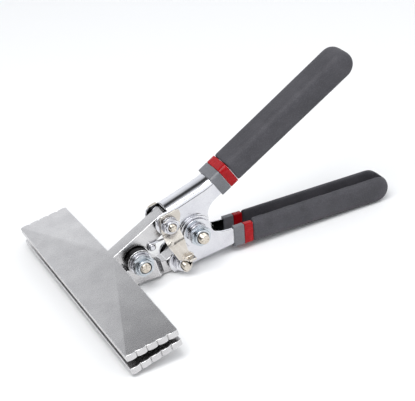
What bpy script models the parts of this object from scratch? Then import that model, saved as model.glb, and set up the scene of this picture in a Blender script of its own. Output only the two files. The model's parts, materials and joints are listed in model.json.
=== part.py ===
"""Hand seamer: two wide forged jaws worked by two channel handles through a four pivot linkage.

The tool frame has its origin at the jaw pivot. X runs from the jaws to the handles, Z runs from the
lower handle to the upper one, and every pivot lies along Y. The nuts and the latch are on the -Y side.
The whole tool is then tipped so that it lies on the lower arm's shoulder and the lower handle.
All sizes are in millimetres in the tool frame, and MM turns them into metres.
"""

import math

import bmesh
import bpy
from mathutils import Matrix, Vector

MM = 0.001
GAP = 0.25                        # space left between touching pieces
ROUND_STEPS = 24                  # sides of a full circle

# Pivots of the linkage, as (x, z)
JAW_PIVOT = (0.0, 0.0)
HANDLE_PIVOT = (35.9, 0.0)
LINK_X = 22.3
LINK_Z = 13.4
UPPER_LINK = (LINK_X, LINK_Z)
LOWER_LINK = (LINK_X, -LINK_Z)

# Jaw blades
BLADE_WIDTH = 152.4
BLADE_DEPTH = 29.6
BLADE_SHIFT = -5.5                # the blades stand this far off the arms' middle plane
BLADE_BACK = -11.7
BLADE_FRONT = BLADE_BACK - BLADE_DEPTH
MOUTH_BACK = 1.33                 # half of the gap between the blades, at the back and at the front
MOUTH_FRONT = 2.45
BLADE_TOP_FRONT = 6.3
BLADE_TOP_CORNER = 4.9
BLADE_TOP_ARM = 8.3
SCALLOPS = 5
SCALLOP_BULGE = 1.0

# Jaw arms
ARM_HALF = 4.2
ARM_INNER = 2.1                   # the arm's inner edge, where it leaves the blade
ARM_SUNK = 3.0                    # how far the arm's root goes into the blade
TAIL_RADIUS = 5.0
LAP_RADIUS = 7.2
LAP_POCKET = 7.7
LAP_PLANE = 0.15
BOSS_FACE = 8.6
ARM_RISE = 14.7                   # degrees, slope of the upper arm's outer edge
LOWER_ARM_RISE = 10.5
LOWER_ARM_FACE = 7.3              # the lower arm's root stands out to here on the near side
SHOULDER = [(-9.6, 10.9), (-7.6, 12.5), (-5.2, 13.4)]
LOWER_ROOT_REACH = (12.4, 8.6)    # and ends here, at the arm's side and on that face
NECK_CORNER = (7.5, 2.9)
NECK_SLOPE = 1.45
LOWER_NECK = [(15.5, 10.3), (12.6, 9.8), NECK_CORNER]
LOWER_HEEL = [(8.6, 15.95), (11.4, 17.4), (15.0, 18.5)]
POST_LUG = [(13.5, 4.4), (12.0, 1.2), (8.6, 0.9)]

# Handle channels
SHEET = 1.5
CHANNEL_HALF = 7.3
CHANNEL_INSIDE = CHANNEL_HALF - SHEET
BAR_HALF = 5.8                    # half of the channel's height
UPPER_BAR = (61.4, 21.4, 19.3)    # x and z of the bar's middle where the ring begins, and its slope
LOWER_BAR = (62.7, 18.35, 12.95)  # the same for the lower handle, turned over
UPPER_WEB = [(-8.5, 0.0)]         # along the bar and out from it, where the web turns down to the pivots
LOWER_WEB = [(-6.8, 0.0), (-7.8, 0.8)]
BAR_STEEL_END = 70.0
UPPER_THROAT = [(44.0, 1.4), (45.3, 3.4), (46.2, 6.8), (48.8, 10.2), (53.0, 12.5)]
LOWER_THROAT = [(44.0, 1.4), (45.3, 3.4), (46.4, 6.2), (49.4, 8.7), (53.6, 10.2)]
WEB_FRONT = (24.7, 21.2)
LINK_EAR = 7.0
PIVOT_EAR_INSIDE = 8.4
PIVOT_EAR_OUTSIDE = 9.2
JOGGLE_INSIDE = 8.85
JOGGLE_OUTSIDE = 9.9
JOGGLE_SWEEP = (22, 152)          # degrees
EAR_INNER_FACE = CHANNEL_HALF + GAP
EAR_OUTER_FACE = EAR_INNER_FACE + SHEET

# Sleeves on the handles: start and end along the bar, and thickness outside and inside the steel
COLLAR = (-6.6, -0.15, 0.9)
RING = (0.0, 5.4, 0.9)
GRIP = (5.55, 98.6, 1.25)
GRIP_LIP = 1.2                    # how much further the grip reaches on its open side
GRIP_STEEL_ROOM = BAR_STEEL_END + 1.0
GRIP_TIP_WALL = 3.0
WEB_ROUNDING = 2.2                # on the channel's two long outer edges
SLEEVE_ROUNDING = 1.2
GRIP_ROUNDING = 2.6

# Fasteners: shank radius, width over flats, nut height
PIVOT_BOLT = 3.05
PIVOT_FLATS = 11.1
PIVOT_NUT = 4.6
LINK_BOLT = 2.1
LINK_FLATS = 8.7
LINK_NUT = 3.3
WASHER = 1.0
LINK_WASHER = 4.9
JAW_WASHER = 6.7
HANDLE_WASHER = 8.6
LOCK_WASHER = 1.4
LOCK_RADIUS = 5.9
BUSH_RADIUS = 4.1
LINK_END = -15.4                  # y of each bolt's end
JAW_END = -16.9
HANDLE_END = -19.6
PIVOT_HEAD = 4.0
LINK_HEAD = 3.0
BOLT_CHAMFER = 0.6
NUT_TURN = 12                     # degrees that each hexagon is turned by
HEAD_TURN = 5
BORE_ROOM = 0.3
NUT_TURNED = 0.2                  # how far inside its flats a nut's face is turned down
OPEN_PIVOT_ROOM = 0.6             # the pivot that the linkage's loop is opened at

# Latch plate, outline relative to the upper link pivot, from its top left round by the right
LATCH_SHEET = 1.2
LATCH_LOW = 8.25                  # middle of the sheet at the pivot
LATCH_HIGH = 12.95                # middle of the sheet over the lower link nut
LATCH_STEP = (-5.3, -9.7)
LATCH_NOTCH = LINK_BOLT + 0.55
LATCH_MOUTH = 141.0               # degrees, the way that the lower link bolt leaves the notch
LATCH_OUTLINE = [(-3.9, 5.3), (-2.9, 6.2), (6.9, 6.2), (8.2, 5.2), (8.4, 2.6), (5.0, -6.0), (4.7, -19.0),
                 (6.8, -21.6), (6.8, -23.6), (4.6, -26.0), (3.4, -29.4), (0.8, -31.2), (-0.9, -30.9),
                 (-2.2, -29.6), (-2.2, -23.0), (-3.9, -16.0), (-5.9, -9.6), (-5.3, -2.0)]
LATCH_TOP = 6.2
LATCH_BOTTOM = -31.2
THUMB_TAB = (2.0, 6.8, -22.8, 4.6)  # left, right, level and how far it stands out

# Opening spring
WIRE = 0.6
COIL_RADIUS = 5.15
COIL_TURNS = 4
COIL_STEPS = 14
COIL_HALF = 3.4
LEG_Y = 5.0                       # the spring's leg runs beside the jaw tails
SPRING_POST = (10.0, 2.8)
POST_RADIUS = 1.1
POST_HEAD = 1.9
POST_HEAD_HEIGHT = 0.9

STAND_TILT = 11.1                 # degrees, to rest on the lower arm's shoulder and the lower handle

PIVOTS = {"jaw_axis": JAW_PIVOT, "handle_axis": HANDLE_PIVOT,
          "upper_link_axis": UPPER_LINK, "lower_link_axis": LOWER_LINK}


# ---------------------------------------------------------------- outlines, as lists of (x, z)

def arc(centre, radius, start, end, steps=None):
    """Points on a circle from one angle to another, in degrees."""
    steps = steps or max(2, round(abs(end - start) / 360.0 * ROUND_STEPS))
    angles = [math.radians(start + (end - start) * i / steps) for i in range(steps + 1)]
    return [(centre[0] + radius * math.cos(a), centre[1] + radius * math.sin(a)) for a in angles]


def circle(centre, radius, steps=ROUND_STEPS):
    return arc(centre, radius, 0, 360 - 360 / steps, steps - 1)


def hexagon(centre, flats, turn=0.0):
    return arc(centre, flats / math.sqrt(3), turn, turn + 300, 5)


def bar_point(along, across, bar):
    """A point on a handle's bar: along it from the ring, and across it towards the web."""
    x, z, slope = bar
    a = math.radians(slope)
    return (x + along * math.cos(a) - across * math.sin(a),
            z + along * math.sin(a) + across * math.cos(a))


# ---------------------------------------------------------------- meshes

def prism(outline, low, high, low_outline=None):
    """A solid with the outline in XZ, from y = low to y = high. It tapers if low has its own outline."""
    bm = bmesh.new()
    near = [bm.verts.new((x, low, z)) for x, z in low_outline or outline]
    far = [bm.verts.new((x, high, z)) for x, z in outline]
    bm.faces.new(near)
    bm.faces.new(far)
    for i in range(len(outline)):
        j = (i + 1) % len(outline)
        bm.faces.new((near[i], near[j], far[j], far[i]))
    bmesh.ops.recalc_face_normals(bm, faces=bm.faces)
    return bm


def turned(profile, centre, steps=ROUND_STEPS):
    """A ring or disc turned round a pivot: the profile is a closed loop of (radius, y)."""
    bm = bmesh.new()
    loops = []
    for i in range(steps):
        a = 2 * math.pi * i / steps
        loops.append([bm.verts.new((centre[0] + r * math.cos(a), y, centre[1] + r * math.sin(a)))
                      for r, y in profile])
    for i in range(steps):
        here, there = loops[i], loops[(i + 1) % steps]
        for k in range(len(profile)):
            m = (k + 1) % len(profile)
            bm.faces.new((here[k], here[m], there[m], there[k]))
    bmesh.ops.recalc_face_normals(bm, faces=bm.faces)
    return bm


def tube(points, radius, sides=6):
    """A closed round wire through the points."""
    bm = bmesh.new()
    rings = []
    side = Vector((0, 0, 1))
    for i, point in enumerate(points):
        ahead = (points[min(i + 1, len(points) - 1)] - points[max(i - 1, 0)]).normalized()
        side = (side - ahead * side.dot(ahead)).normalized()
        other = ahead.cross(side)
        ring = []
        for k in range(sides):
            a = 2 * math.pi * k / sides
            ring.append(bm.verts.new(point + radius * (math.cos(a) * side + math.sin(a) * other)))
        rings.append(ring)
    for here, there in zip(rings, rings[1:]):
        for k in range(sides):
            m = (k + 1) % sides
            bm.faces.new((here[k], here[m], there[m], there[k]))
    bm.faces.new(rings[0])
    bm.faces.new(rings[-1])
    bmesh.ops.recalc_face_normals(bm, faces=bm.faces)
    return bm


# ---------------------------------------------------------------- objects

def clear_scene():
    for obj in list(bpy.data.objects):
        bpy.data.objects.remove(obj, do_unlink=True)


def material(name, colour, roughness, metallic):
    mat = bpy.data.materials.new(name)
    mat.use_nodes = True
    shader = mat.node_tree.nodes["Principled BSDF"]
    shader.inputs["Base Color"].default_value = (*colour, 1.0)
    shader.inputs["Roughness"].default_value = roughness
    shader.inputs["Metallic"].default_value = metallic
    return mat


def add_axes():
    """One empty for the tool frame, and one on each pivot axis."""
    frame = bpy.data.objects.new("tool_frame", None)
    bpy.context.collection.objects.link(frame)
    axes = {}
    for name, (x, z) in PIVOTS.items():
        empty = bpy.data.objects.new(name, None)
        empty.location = (x * MM, 0, z * MM)
        empty.parent = frame
        bpy.context.collection.objects.link(empty)
        axes[name] = empty
    return frame, axes


def add(name, bm, mat, axis):
    """Puts a mesh made in the tool frame under a pivot's empty, with its origin on that pivot."""
    x, z = PIVOTS[axis.name]
    bmesh.ops.translate(bm, verts=bm.verts, vec=(-x, 0, -z))
    bmesh.ops.scale(bm, verts=bm.verts, vec=(MM, MM, MM))
    mesh = bpy.data.meshes.new(name)
    bm.to_mesh(mesh)
    bm.free()
    mesh.materials.append(mat)
    mesh.shade_smooth()
    mesh.set_sharp_from_angle(angle=math.radians(30))
    obj = bpy.data.objects.new(name, mesh)
    obj.parent = axis
    bpy.context.collection.objects.link(obj)
    return obj


def shape(obj, bm, operation="DIFFERENCE"):
    """Cuts the object by a mesh, joins it to one, or keeps what the two share."""
    count = len(obj.modifiers)
    tool = add(f"{obj.name}_tool_{count}", bm, obj.data.materials[0], obj.parent)
    tool.hide_render = True
    tool.display_type = "WIRE"
    modifier = obj.modifiers.new(f"{operation.lower()}_{count}", "BOOLEAN")
    modifier.operation = operation
    modifier.object = tool
    modifier.solver = "EXACT"
    return obj


# ---------------------------------------------------------------- jaws

def blade_wedge():
    """The blade's body: a flat gripping face, and a back that rises to the arm's width."""
    half = BLADE_WIDTH / 2 + 1.0
    low, high = BLADE_SHIFT - half, BLADE_SHIFT + half
    bm = bmesh.new()
    face = [bm.verts.new((BLADE_FRONT, low, MOUTH_FRONT)), bm.verts.new((BLADE_BACK, low, MOUTH_BACK)),
            bm.verts.new((BLADE_BACK, high, MOUTH_BACK)), bm.verts.new((BLADE_FRONT, high, MOUTH_FRONT))]
    front = [bm.verts.new((BLADE_FRONT, low, BLADE_TOP_FRONT)),
             bm.verts.new((BLADE_FRONT, high, BLADE_TOP_FRONT))]
    back = [bm.verts.new((BLADE_BACK, y, z)) for y, z in
            ((low, BLADE_TOP_CORNER), (-ARM_HALF, BLADE_TOP_ARM), (ARM_HALF, BLADE_TOP_ARM),
             (high, BLADE_TOP_CORNER))]
    bm.faces.new(face)
    bm.faces.new((face[0], face[3], front[1], front[0]))
    bm.faces.new((face[1], face[2], back[3], back[2], back[1], back[0]))
    bm.faces.new((face[0], face[1], back[0], front[0]))
    bm.faces.new((face[3], face[2], back[3], front[1]))
    bm.faces.new((front[0], back[1], back[2], front[1]))
    bm.faces.new((front[0], back[0], back[1]))
    bm.faces.new((front[1], back[2], back[3]))
    bmesh.ops.recalc_face_normals(bm, faces=bm.faces)
    return bm


def scalloped_plan():
    """A block with the blade's plan, whose two ends are rows of shallow scallops."""
    pitch = BLADE_DEPTH / SCALLOPS
    steps = 6
    end = []
    for i in range(SCALLOPS):
        for k in range(steps):
            t = k / steps
            end.append((BLADE_FRONT + (i + t) * pitch, SCALLOP_BULGE * math.sqrt(1 - (2 * t - 1) ** 2)))
    end.append((BLADE_BACK, 0.0))
    half = BLADE_WIDTH / 2 - SCALLOP_BULGE
    plan = [(x, BLADE_SHIFT - half - bulge) for x, bulge in end]
    plan += [(x, BLADE_SHIFT + half + bulge) for x, bulge in reversed(end)]
    block = prism(plan, -1.0, BLADE_TOP_ARM + 1.0)
    bmesh.ops.rotate(block, verts=block.verts, cent=(0, 0, 0), matrix=Matrix.Rotation(math.pi / 2, 3, "X"))
    bmesh.ops.transform(block, matrix=Matrix.Scale(-1, 4, (0, 1, 0)), verts=block.verts)
    bmesh.ops.recalc_face_normals(block, faces=block.faces)
    return block


def arm_root():
    """The end of an arm's outline that is inside the blade, from its inner edge to its outer one."""
    return [(BLADE_BACK, ARM_INNER), (BLADE_BACK - ARM_SUNK, ARM_INNER),
            (BLADE_BACK - ARM_SUNK, BLADE_TOP_ARM - ARM_SUNK * math.tan(math.radians(ARM_RISE))),
            (BLADE_BACK, BLADE_TOP_ARM)]


def upper_arm():
    """Side view of the upper jaw's arm, from inside the blade to the tail round the link pivot."""
    tail = arc(UPPER_LINK, TAIL_RADIUS, 90 + ARM_RISE, -62)
    return arm_root() + tail + POST_LUG


def lower_arm():
    """Side view of the lower jaw's arm, turned over: it has a shoulder and a narrower tail."""
    tail = arc(UPPER_LINK, TAIL_RADIUS, 92, -120)
    return arm_root() + SHOULDER + LOWER_HEEL + tail + LOWER_NECK


def lower_root(reach):
    """Side view of the lower arm's thicker root, up to x = reach."""
    x, z = SHOULDER[-1]
    edge = z + (reach - x) * math.tan(math.radians(LOWER_ARM_RISE))
    inner = NECK_CORNER[1] + (reach - NECK_CORNER[0]) * NECK_SLOPE
    return arm_root() + SHOULDER + [(reach, edge), (reach, inner), NECK_CORNER]


def flipped(bm, lower):
    """Turns a mesh of the upper side into one of the lower side."""
    if lower:
        bmesh.ops.transform(bm, matrix=Matrix.Scale(-1, 4, (0, 0, 1)), verts=bm.verts)
        bmesh.ops.reverse_faces(bm, faces=bm.faces)
    return bm


def add_jaw(name, lower, mat, axis):
    """A blade with its arm, the half-lap eye at the jaw pivot, and the tail that a handle pushes."""
    link = LOWER_LINK if lower else UPPER_LINK
    jaw = add(name, flipped(blade_wedge(), lower), mat, axis)
    shape(jaw, flipped(scalloped_plan(), lower), "INTERSECT")
    arm = lower_arm() if lower else upper_arm()
    shape(jaw, flipped(prism(arm, -ARM_HALF, ARM_HALF), lower), "UNION")
    if lower:
        side, face = LOWER_ROOT_REACH
        root = prism(lower_root(side), -LOWER_ARM_FACE, -ARM_HALF + GAP, lower_root(face))
        shape(jaw, flipped(root, lower), "UNION")
        shape(jaw, prism(circle(JAW_PIVOT, LAP_POCKET), -LAP_PLANE, ARM_HALF + 1), "DIFFERENCE")
        shape(jaw, prism(circle(JAW_PIVOT, LAP_RADIUS), -BOSS_FACE, -LAP_PLANE), "UNION")
    else:
        shape(jaw, prism(circle(JAW_PIVOT, LAP_POCKET), -ARM_HALF - 1, LAP_PLANE), "DIFFERENCE")
        shape(jaw, prism(circle(JAW_PIVOT, LAP_RADIUS), LAP_PLANE, ARM_HALF), "UNION")
    room = BORE_ROOM if lower else OPEN_PIVOT_ROOM
    shape(jaw, prism(circle(JAW_PIVOT, PIVOT_BOLT + room), -BOSS_FACE - 1, BOSS_FACE + 1), "DIFFERENCE")
    shape(jaw, prism(circle(link, LINK_BOLT + BORE_ROOM), -BOSS_FACE - 1, BOSS_FACE + 1), "DIFFERENCE")
    return jaw


# ---------------------------------------------------------------- handles

def web_path(bar, inset=0.0):
    """Outer edge of the channel, from its steel end in the grip to its front over the link."""
    turn = LOWER_WEB if bar is LOWER_BAR else UPPER_WEB
    x, z = WEB_FRONT
    return ([bar_point(BAR_STEEL_END, BAR_HALF - inset, bar)]
            + [bar_point(along, BAR_HALF + out - inset, bar) for along, out in turn] + [(x, z - inset)])


def wall_outline(bar, throat):
    """Side view of a handle's channel, with its link ear, pivot ear and the throat between the handles."""
    ear = arc(UPPER_LINK, LINK_EAR, 70, 247)
    inner = [bar_point(-5.0, -BAR_HALF, bar), bar_point(BAR_STEEL_END, -BAR_HALF, bar)]
    return web_path(bar) + ear + [HANDLE_PIVOT] + throat + inner


def channel_inside(bar):
    """Side view of the space between the walls: under the web, and all of it in front of the web."""
    path = web_path(bar, SHEET)
    beyond = BAR_STEEL_END + 5
    front, top = WEB_FRONT
    return ([bar_point(beyond, BAR_HALF - SHEET, bar)] + path[1:]
            + [(front - GAP, top - SHEET), (front - GAP, top + 1), (0.0, top + 1), (0.0, -20.0),
               bar_point(beyond, -40.0, bar)])


def add_handle(name, lower, mat, axis):
    """A pressed channel. The upper one's ears are stepped out to pass over the lower one's."""
    bar = LOWER_BAR if lower else UPPER_BAR
    path = web_path(bar)

    def on_web(co):
        return any(abs(co.x - x) < 0.01 and abs(co.z - z) < 0.01 for x, z in path)

    body = prism(wall_outline(bar, LOWER_THROAT if lower else UPPER_THROAT), -CHANNEL_HALF, CHANNEL_HALF)
    edges = [e for e in body.edges if on_web(e.verts[0].co) and on_web(e.verts[1].co)
             and abs(e.verts[0].co.y - e.verts[1].co.y) < 0.01]
    bmesh.ops.bevel(body, geom=edges, offset=WEB_ROUNDING, segments=3, profile=0.5, affect="EDGES")
    handle = add(name, flipped(body, lower), mat, axis)
    inside = prism(channel_inside(bar), -CHANNEL_INSIDE, CHANNEL_INSIDE)
    shape(handle, flipped(inside, lower), "DIFFERENCE")
    if lower:
        for low in (-CHANNEL_HALF, CHANNEL_INSIDE):
            shape(handle, prism(circle(HANDLE_PIVOT, PIVOT_EAR_INSIDE), low, low + SHEET), "UNION")
    else:
        reach = EAR_OUTER_FACE + 1
        shape(handle, prism(circle(HANDLE_PIVOT, JOGGLE_INSIDE), -reach, reach), "DIFFERENCE")
        first, last = JOGGLE_SWEEP
        step = arc(HANDLE_PIVOT, JOGGLE_OUTSIDE, first, last)
        step += arc(HANDLE_PIVOT, JOGGLE_INSIDE, last, first)
        for side in (-1, 1):
            low, high = sorted((side * CHANNEL_INSIDE, side * EAR_OUTER_FACE))
            shape(handle, prism(step, low, high), "UNION")
            low, high = sorted((side * EAR_INNER_FACE, side * EAR_OUTER_FACE))
            shape(handle, prism(circle(HANDLE_PIVOT, PIVOT_EAR_OUTSIDE), low, high), "UNION")
    link = LOWER_LINK if lower else UPPER_LINK
    reach = EAR_OUTER_FACE + 1
    shape(handle, prism(circle(HANDLE_PIVOT, PIVOT_BOLT + BORE_ROOM), -reach, reach), "DIFFERENCE")
    shape(handle, prism(circle(link, LINK_BOLT + BORE_ROOM), -reach, reach), "DIFFERENCE")
    return handle


def sleeve_outline(start, end, grow, bar, round_end):
    """Side view of a sleeve round the bar, a little larger than the steel."""
    top, low = BAR_HALF + grow, -BAR_HALF - grow
    if not round_end:
        return [bar_point(start, low, bar), bar_point(end, low, bar),
                bar_point(end, top, bar), bar_point(start, top, bar)]
    low -= GRIP_LIP
    radius, middle = (top - low) / 2, (top + low) / 2
    points = [bar_point(start, low, bar)]
    for a in range(-90, 91, 15):
        c, s = math.cos(math.radians(a)), math.sin(math.radians(a))
        points.append(bar_point(end - radius + radius * c, middle + radius * s, bar))
    return points + [bar_point(start, top, bar)]


def add_sleeve(name, spec, lower, mat, axis, tip=False):
    """A U-shaped sleeve that covers the channel's walls and web on both faces."""
    start, end, grow = spec
    bar = LOWER_BAR if lower else UPPER_BAR
    outer = CHANNEL_HALF + grow
    outline = sleeve_outline(start, end, grow, bar, tip)
    body = prism(outline, -outer, outer)
    open_edge = (outline[0], outline[-1])
    web_edge = outline[-2:]

    def among(co, points):
        return any(abs(co.x - x) < 0.01 and abs(co.z - z) < 0.01 for x, z in points)

    def is_rounded(edge):
        ends = [v.co for v in edge.verts]
        if ends[0].y * ends[1].y < 0:
            return False
        if tip:
            return not all(among(c, open_edge) for c in ends)
        return all(among(c, web_edge) for c in ends)

    rounding = GRIP_ROUNDING if tip else SLEEVE_ROUNDING
    bmesh.ops.bevel(body, geom=[e for e in body.edges if is_rounded(e)], offset=rounding, segments=3,
                    profile=0.5, affect="EDGES")
    sleeve = add(name, flipped(body, lower), mat, axis)
    inside = CHANNEL_INSIDE - grow
    stop = end - GRIP_TIP_WALL if tip else end + 1
    web_inner = BAR_HALF - SHEET - grow
    hollow = [bar_point(start - 1, -BAR_HALF - 6, bar), bar_point(stop, -BAR_HALF - 6, bar),
              bar_point(stop, web_inner, bar), bar_point(start - 1, web_inner, bar)]
    shape(sleeve, flipped(prism(hollow, -inside, inside), lower), "DIFFERENCE")
    steel = GRIP_STEEL_ROOM if tip else end + 1
    low, high = -BAR_HALF - GAP, BAR_HALF + GAP
    wall = [bar_point(start - 1, low, bar), bar_point(steel, low, bar),
            bar_point(steel, high, bar), bar_point(start - 1, high, bar)]
    under = BAR_HALF - SHEET - GAP
    web = [bar_point(start - 1, under, bar), bar_point(steel, under, bar),
           bar_point(steel, high, bar), bar_point(start - 1, high, bar)]
    a, b = CHANNEL_INSIDE - GAP, CHANNEL_HALF + GAP
    shape(sleeve, flipped(prism(wall, -b, -a), lower), "DIFFERENCE")
    shape(sleeve, flipped(prism(wall, a, b), lower), "DIFFERENCE")
    shape(sleeve, flipped(prism(web, -b, b), lower), "DIFFERENCE")
    return sleeve


# ---------------------------------------------------------------- fasteners

def add_ring(name, centre, inner, outer, low, high, mat, axis):
    profile = [(inner, low), (outer, low), (outer, high), (inner, high)]
    return add(name, turned(profile, centre), mat, axis)


def add_nut(name, centre, flats, bore, near, height, mat, axis):
    """A hexagon nut with its corners turned off on the outer face, which is at y = near."""
    nut = add(name, prism(hexagon(centre, flats, NUT_TURN), near, near + height), mat, axis)
    corner = flats / math.sqrt(3)
    slope = corner - flats / 2
    face = flats / 2 - NUT_TURNED
    turned_off = turned([(face, near - 1), (corner + 1, near - 1), (corner + 1, near + slope),
                         (face, near)], centre)
    shape(nut, turned_off, "DIFFERENCE")
    shape(nut, prism(circle(centre, bore), near - 1, near + height + 1), "DIFFERENCE")
    return nut


def add_bolt(name, centre, shank, flats, head_face, head, end, mat, axis):
    """A bolt whose head sits on the far side, at y = head_face, and whose end is at y = end."""
    bolt = add(name, prism(hexagon(centre, flats, HEAD_TURN), head_face, head_face + head), mat, axis)
    rod = prism(circle(centre, shank), end, head_face + head / 2)
    rim = [e for e in rod.edges if all(abs(v.co.y - end) < 0.01 for v in e.verts)]
    bmesh.ops.bevel(rod, geom=rim, offset=BOLT_CHAMFER, segments=1, profile=0.5, affect="EDGES")
    shape(bolt, rod, "UNION")
    return bolt


def add_link_hardware(side, centre, mats, axis, near_face):
    """Bolt, nut, washer and the two spacers that centre a jaw's tail in its handle."""
    mat = mats["zinc"]
    bore = LINK_BOLT + BORE_ROOM
    add_bolt(f"{side}_link_bolt", centre, LINK_BOLT, LINK_FLATS, CHANNEL_HALF + GAP, LINK_HEAD, LINK_END,
             mats["yellow"], axis)
    low, high = ARM_HALF + GAP, CHANNEL_INSIDE - GAP
    add_ring(f"{side}_link_spacer_far", centre, bore, TAIL_RADIUS, low, high, mat, axis)
    add_ring(f"{side}_link_spacer_near", centre, bore, TAIL_RADIUS, -high, -low, mat, axis)
    washer = near_face - GAP - WASHER
    add_ring(f"{side}_link_washer", centre, bore, LINK_WASHER, washer, washer + WASHER, mat, axis)
    add_nut(f"{side}_link_nut", centre, LINK_FLATS, bore, washer - GAP - LINK_NUT, LINK_NUT, mat, axis)


def add_pivot_hardware(mats, axes):
    """The jaw pivot's and the handle pivot's bolts, washers and nuts, and the handle pivot's bush."""
    bore = PIVOT_BOLT + BORE_ROOM
    axis = axes["lower_link_axis"]
    add_bolt("jaw_pivot_bolt", JAW_PIVOT, PIVOT_BOLT, PIVOT_FLATS, ARM_HALF + GAP, PIVOT_HEAD, JAW_END,
             mats["yellow"], axis)
    face = -BOSS_FACE - GAP - WASHER
    add_ring("jaw_pivot_washer", JAW_PIVOT, bore, JAW_WASHER, face, face + WASHER, mats["zinc"], axis)
    face -= GAP + LOCK_WASHER
    add_lock_washer("jaw_pivot_lock_washer", JAW_PIVOT, bore, face, mats["zinc"], axis)
    add_nut("jaw_pivot_nut", JAW_PIVOT, PIVOT_FLATS, bore, face - GAP - PIVOT_NUT, PIVOT_NUT,
            mats["blue"], axis)
    axis = axes["handle_axis"]
    add_bolt("handle_pivot_bolt", HANDLE_PIVOT, PIVOT_BOLT, PIVOT_FLATS, EAR_OUTER_FACE + GAP,
             PIVOT_HEAD, HANDLE_END, mats["yellow"], axis)
    face = -EAR_OUTER_FACE - GAP - WASHER
    add_ring("handle_pivot_washer", HANDLE_PIVOT, bore, HANDLE_WASHER, face, face + WASHER,
             mats["zinc"], axis)
    face -= GAP + LOCK_WASHER
    add_lock_washer("handle_pivot_lock_washer", HANDLE_PIVOT, bore, face, mats["zinc"], axis)
    add_nut("handle_pivot_nut", HANDLE_PIVOT, PIVOT_FLATS, bore, face - GAP - PIVOT_NUT, PIVOT_NUT,
            mats["blue"], axis)
    half = CHANNEL_INSIDE - GAP
    add_ring("handle_pivot_bush", HANDLE_PIVOT, bore, BUSH_RADIUS, -half, half, mats["steel"], axis)


def add_lock_washer(name, centre, bore, face, mat, axis):
    """A spring washer: a ring with one slanted split."""
    ring = add_ring(name, centre, bore, LOCK_RADIUS, face, face + LOCK_WASHER, mat, axis)
    x, z = centre
    split = [(x + bore - 1, z - 0.7), (x + LOCK_RADIUS + 1, z + 0.1), (x + LOCK_RADIUS + 1, z + 0.9),
             (x + bore - 1, z + 0.1)]
    shape(ring, prism(split, face - 1, face + LOCK_WASHER + 1), "DIFFERENCE")


# ---------------------------------------------------------------- latch and spring

def latch_strip():
    """The latch's sheet seen edge on: low at the pivot, stepped out over the lower link's nut."""
    half = LATCH_SHEET / 2
    top, low = LATCH_TOP + 2, LATCH_BOTTOM - 2
    step_top, step_low = LATCH_STEP
    lean = half * math.tan(math.atan2(LATCH_HIGH - LATCH_LOW, step_top - step_low) / 2)
    inner = [(-LATCH_LOW + half, top), (-LATCH_LOW + half, step_top - lean),
             (-LATCH_HIGH + half, step_low - lean), (-LATCH_HIGH + half, low)]
    outer = [(-LATCH_HIGH - half, low), (-LATCH_HIGH - half, step_low + lean),
             (-LATCH_LOW - half, step_top + lean), (-LATCH_LOW - half, top)]
    bm = bmesh.new()
    x, z = UPPER_LINK
    left = [bm.verts.new((x - 15, y, z + dz)) for y, dz in inner + outer]
    right = [bm.verts.new((x + 15, y, z + dz)) for y, dz in inner + outer]
    bm.faces.new(left)
    bm.faces.new(right)
    for i in range(len(left)):
        j = (i + 1) % len(left)
        bm.faces.new((left[i], left[j], right[j], right[i]))
    bmesh.ops.recalc_face_normals(bm, faces=bm.faces)
    return bm


def add_latch(mat, axis):
    x, z = UPPER_LINK
    latch = add("latch", latch_strip(), mat, axis)
    outline = [(x + dx, z + dz) for dx, dz in LATCH_OUTLINE]
    shape(latch, prism(outline, -20, 0), "INTERSECT")
    mouth = math.radians(LATCH_MOUTH)
    out = (math.cos(mouth), math.sin(mouth))
    far = (LOWER_LINK[0] + 12 * out[0], LOWER_LINK[1] + 12 * out[1])
    slot = arc(LOWER_LINK, LATCH_NOTCH, LATCH_MOUTH + 90, LATCH_MOUTH + 270)
    slot += arc(far, LATCH_NOTCH, LATCH_MOUTH - 90, LATCH_MOUTH + 90)
    shape(latch, prism(slot, -20, 0), "DIFFERENCE")
    left, right, level, reach = THUMB_TAB
    tab = [(x + left, z + level - LATCH_SHEET / 2), (x + right, z + level - LATCH_SHEET / 2),
           (x + right, z + level + LATCH_SHEET / 2), (x + left, z + level + LATCH_SHEET / 2)]
    shape(latch, prism(tab, -LATCH_HIGH - reach, -LATCH_HIGH), "UNION")
    shape(latch, prism(circle(UPPER_LINK, LINK_BOLT + BORE_ROOM), -20, 0), "DIFFERENCE")
    return latch


def spring_path():
    """Centre line of the spring: a coil round the handle pivot's bush, a leg, and an eye at the post."""
    x, z = HANDLE_PIVOT
    turns = COIL_TURNS + 0.25
    points = []
    for i in range(round(turns * COIL_STEPS) + 1):
        a = 2 * math.pi * i / COIL_STEPS
        y = COIL_HALF - 2 * COIL_HALF * i / (turns * COIL_STEPS)
        points.append(Vector((x + COIL_RADIUS * math.cos(a), y, z + COIL_RADIUS * math.sin(a))))
    px, pz = SPRING_POST
    eye = POST_RADIUS + GAP + WIRE
    leg = [Vector((x - 4.5, -LEG_Y + 0.4, z + COIL_RADIUS)), Vector((x - 8.0, -LEG_Y, z + 5.0)),
           Vector((px + 8.0, -LEG_Y, pz + 1.2)), Vector((px + 3.2, -LEG_Y, pz + eye - 0.3))]
    loop = [Vector((px + eye * math.cos(a), -LEG_Y, pz + eye * math.sin(a)))
            for a in (math.radians(70 + 30 * k) for k in range(9))]
    return points + leg + loop


def add_spring(mat, axes):
    add("opening_spring", tube(spring_path(), WIRE), mat, axes["handle_axis"])
    head = -LEG_Y - WIRE - GAP - POST_HEAD_HEIGHT
    pin = prism(circle(SPRING_POST, POST_RADIUS, 16), head, -ARM_HALF - GAP)
    post = add("spring_post", pin, mat, axes["upper_link_axis"])
    shape(post, prism(circle(SPRING_POST, POST_HEAD, 16), head, head + POST_HEAD_HEIGHT), "UNION")


# ---------------------------------------------------------------- assembly

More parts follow.
